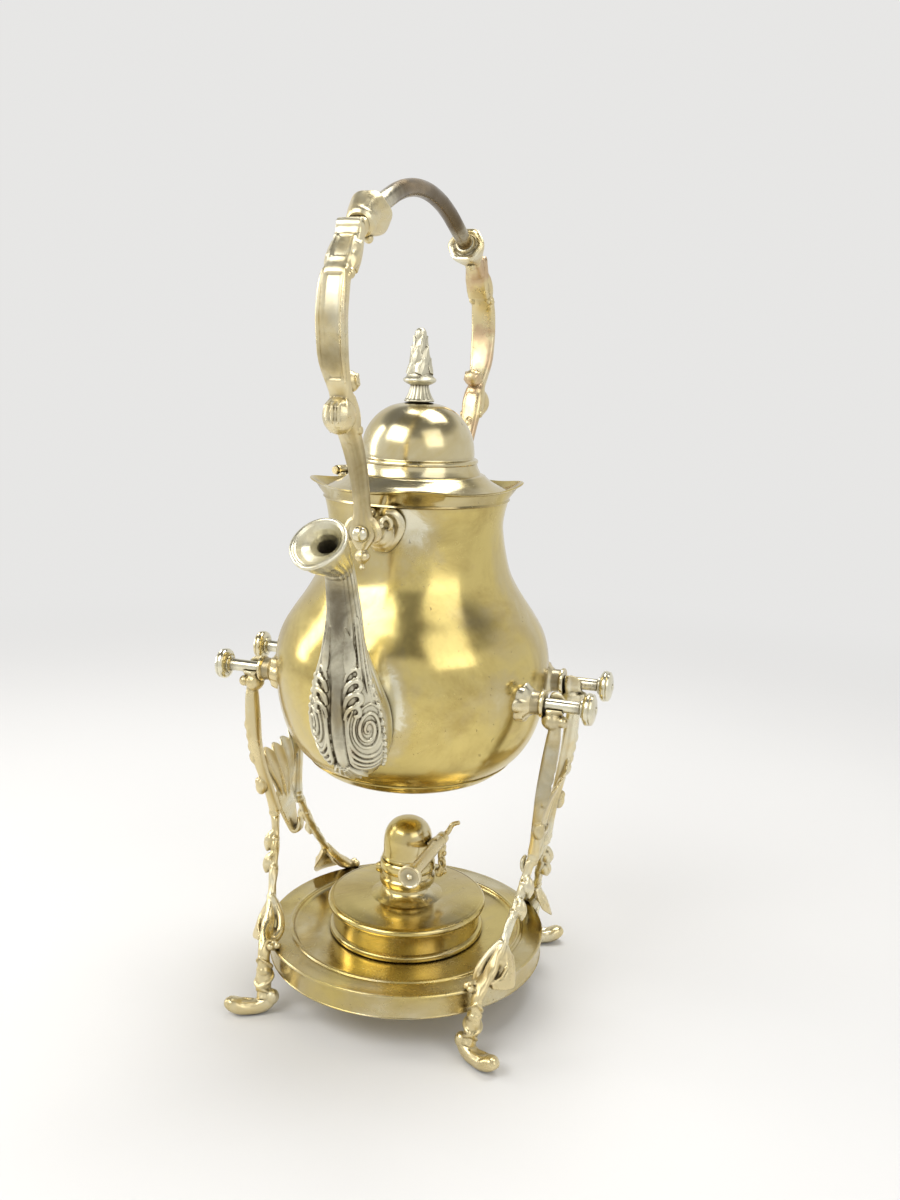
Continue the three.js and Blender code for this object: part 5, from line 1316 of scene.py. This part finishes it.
def snuffer_hinge_arm():
    """The lamp's arm with the eye that the sleeve turns in."""
    x, z = SLEEVE_X, SLEEVE_Z
    a, b = extent("snuffer_bracket", 1)
    mid, low_z = (a + b) / 2, extent("snuffer_bracket")[0]
    arm = Limb([(13.7, mid, low_z + 2.4, 2.3, 2.2), (15.4, mid, low_z + 2.8, 2.3, 2.2),
        (16.5, mid, low_z + 6.4, 2.2, 1.5), (15.7, mid, low_z + 11.5, 2.2, 1.5), (16.3, mid, z - 4.5, 2.2, 1.6),
        (x, mid, z - 2.9, 2.2, 1.5)], BACK, 0.7).part(24, 6)
    curl = [(16.6 + 1.5 * cos(t) * (1 - t / 9), mid - 2, low_z + 8.5 + 2.2 * sin(t) * (1 - t / 9))
        for t in np.linspace(-1, 5, 24)]
    eye = along_y(turned([(ROD_BORE, a), (2.7, a), (2.95, a + 0.4), (2.95, b - 0.4), (2.7, b), (ROD_BORE, b)], 40),
        (x, 0, z))
    piece("snuffer_hinge_arm", joined([arm, ridge(curl, 0.9, taper=0.8), eye, ball((17.2, mid, low_z + 3.4), 1.7),
        ball((16.9, mid, low_z + 12.6), 1.5)]), "lamp", SMALL, "snuffer_bracket")


def snuffer():
    for build in (snuffer_dome, snuffer_tube, snuffer_knob, snuffer_spindle, snuffer_leaf, snuffer_hinge_arm):
        build()


def dress_frame():
    """Finishes for the CAD nodes that stay: the strainer, nut, pin and screws, all hidden inside."""
    for name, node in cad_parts.items():
        if not node.hide_render:
            node.data.materials.clear()
            node.data.materials.append((LAMP if name == "spout_strainer" else SMALL)[1])


# Studio
FLOOR_R = 4
LIGHTS_AIM = Vector((0, 0, 0.17))


def ground():
    around = 96
    turns = [2 * pi * k / around for k in range(around)]
    points = [(0, 0, 0)] + [(FLOOR_R * cos(turn), FLOOR_R * sin(turn), 0) for turn in turns]
    mesh = bpy.data.meshes.new("floor")
    mesh.from_pydata(points, [], [(0, k + 1, (k + 1) % around + 1) for k in range(around)])
    mesh.materials.append(floor_material())
    placed("floor", mesh)


def surroundings():
    """A backdrop that stays pale up to the horizon and darkens overhead."""
    world = bpy.data.worlds.new("studio")
    bpy.context.scene.world = world
    world.use_nodes = True
    nodes, links = world.node_tree.nodes, world.node_tree.links
    lit = nodes["Background"]
    place = nodes.new("ShaderNodeTexCoord")
    apart = nodes.new("ShaderNodeSeparateXYZ")
    links.new(place.outputs["Generated"], apart.inputs["Vector"])
    rise = nodes.new("ShaderNodeValToRGB")
    stops = [(0.0, BACKDROP), (0.5, BACKDROP), (0.66, (0.27, 0.265, 0.255)), (1.0, (0.15, 0.147, 0.143))]
    while len(rise.color_ramp.elements) < len(stops):
        rise.color_ramp.elements.new(0.5)
    for stop, (at, colour) in zip(rise.color_ramp.elements, stops):
        stop.position = at
        stop.color = (*colour, 1)
    links.new(apart.outputs["Z"], rise.inputs["Fac"])
    links.new(rise.outputs["Color"], lit.inputs["Color"])


def softbox(name, place, size, watts, colour=(1, 1, 1)):
    """An area light that faces the kettle. Places and sizes are in metres."""
    data = bpy.data.lights.new(name, "AREA")
    data.shape = "RECTANGLE"
    data.size, data.size_y = size
    data.energy = watts
    data.color = colour
    light = placed(name, data)
    light.location = place
    light.rotation_mode = "QUATERNION"
    light.rotation_quaternion = (LIGHTS_AIM - Vector(place)).to_track_quat("-Z", "Y")


def studio():
    ground()
    surroundings()
    softbox("key", (-0.45, -0.7, 0.95), (0.75, 0.6), 6.0)
    softbox("left_strip", (-1.0, -0.15, 0.55), (0.25, 0.8), 3.0, (1, 0.97, 0.92))
    softbox("right_window", (0.82, -0.55, 0.9), (0.75, 0.85), 2.9, (1, 0.98, 0.95))
    softbox("top", (0.1, 0.35, 1.2), (0.8, 0.5), 8)


# Camera, fitted to the round outlines of the photograph
CAMERA_AT = (173.2, -475.8, 300.5)
FOCAL_PIXELS = 1127.2
FRAME_HEIGHT = 1200
SENSOR = 36
CAMERA_AIM = (0, 0, 161.8)
TURN_OFF, PITCH_UP, ROLL = radians(-1.86), radians(3.08), radians(1.83)


def camera():
    data = bpy.data.cameras.new("camera")
    data.sensor_width = SENSOR
    data.lens = SENSOR * FOCAL_PIXELS / FRAME_HEIGHT
    data.clip_start = 0.01
    cam = placed("camera", data)
    at = Vector(CAMERA_AT)
    look = (Vector(CAMERA_AIM) - at).normalized()
    look = Matrix.Rotation(TURN_OFF, 3, "Z") @ look
    side = look.cross(Vector((0, 0, 1))).normalized()
    look = Matrix.Rotation(PITCH_UP, 3, side) @ look
    over = side.cross(look)
    right = side * cos(ROLL) + over * sin(ROLL)
    up = over * cos(ROLL) - side * sin(ROLL)
    basis = Matrix((right, up, -look)).transposed()
    cam.matrix_world = Matrix.Translation(at * MM) @ basis.to_4x4()
    bpy.context.scene.camera = cam


for build in (camera, kettle_body, rim, lid, finial, spout, handle, handle_mounts, lid_hinge, hanging_pins, dish,
        side_frames, lamp, snuffer, dress_frame, studio):
    build()

bpy.context.scene.view_settings.view_transform = "Standard"
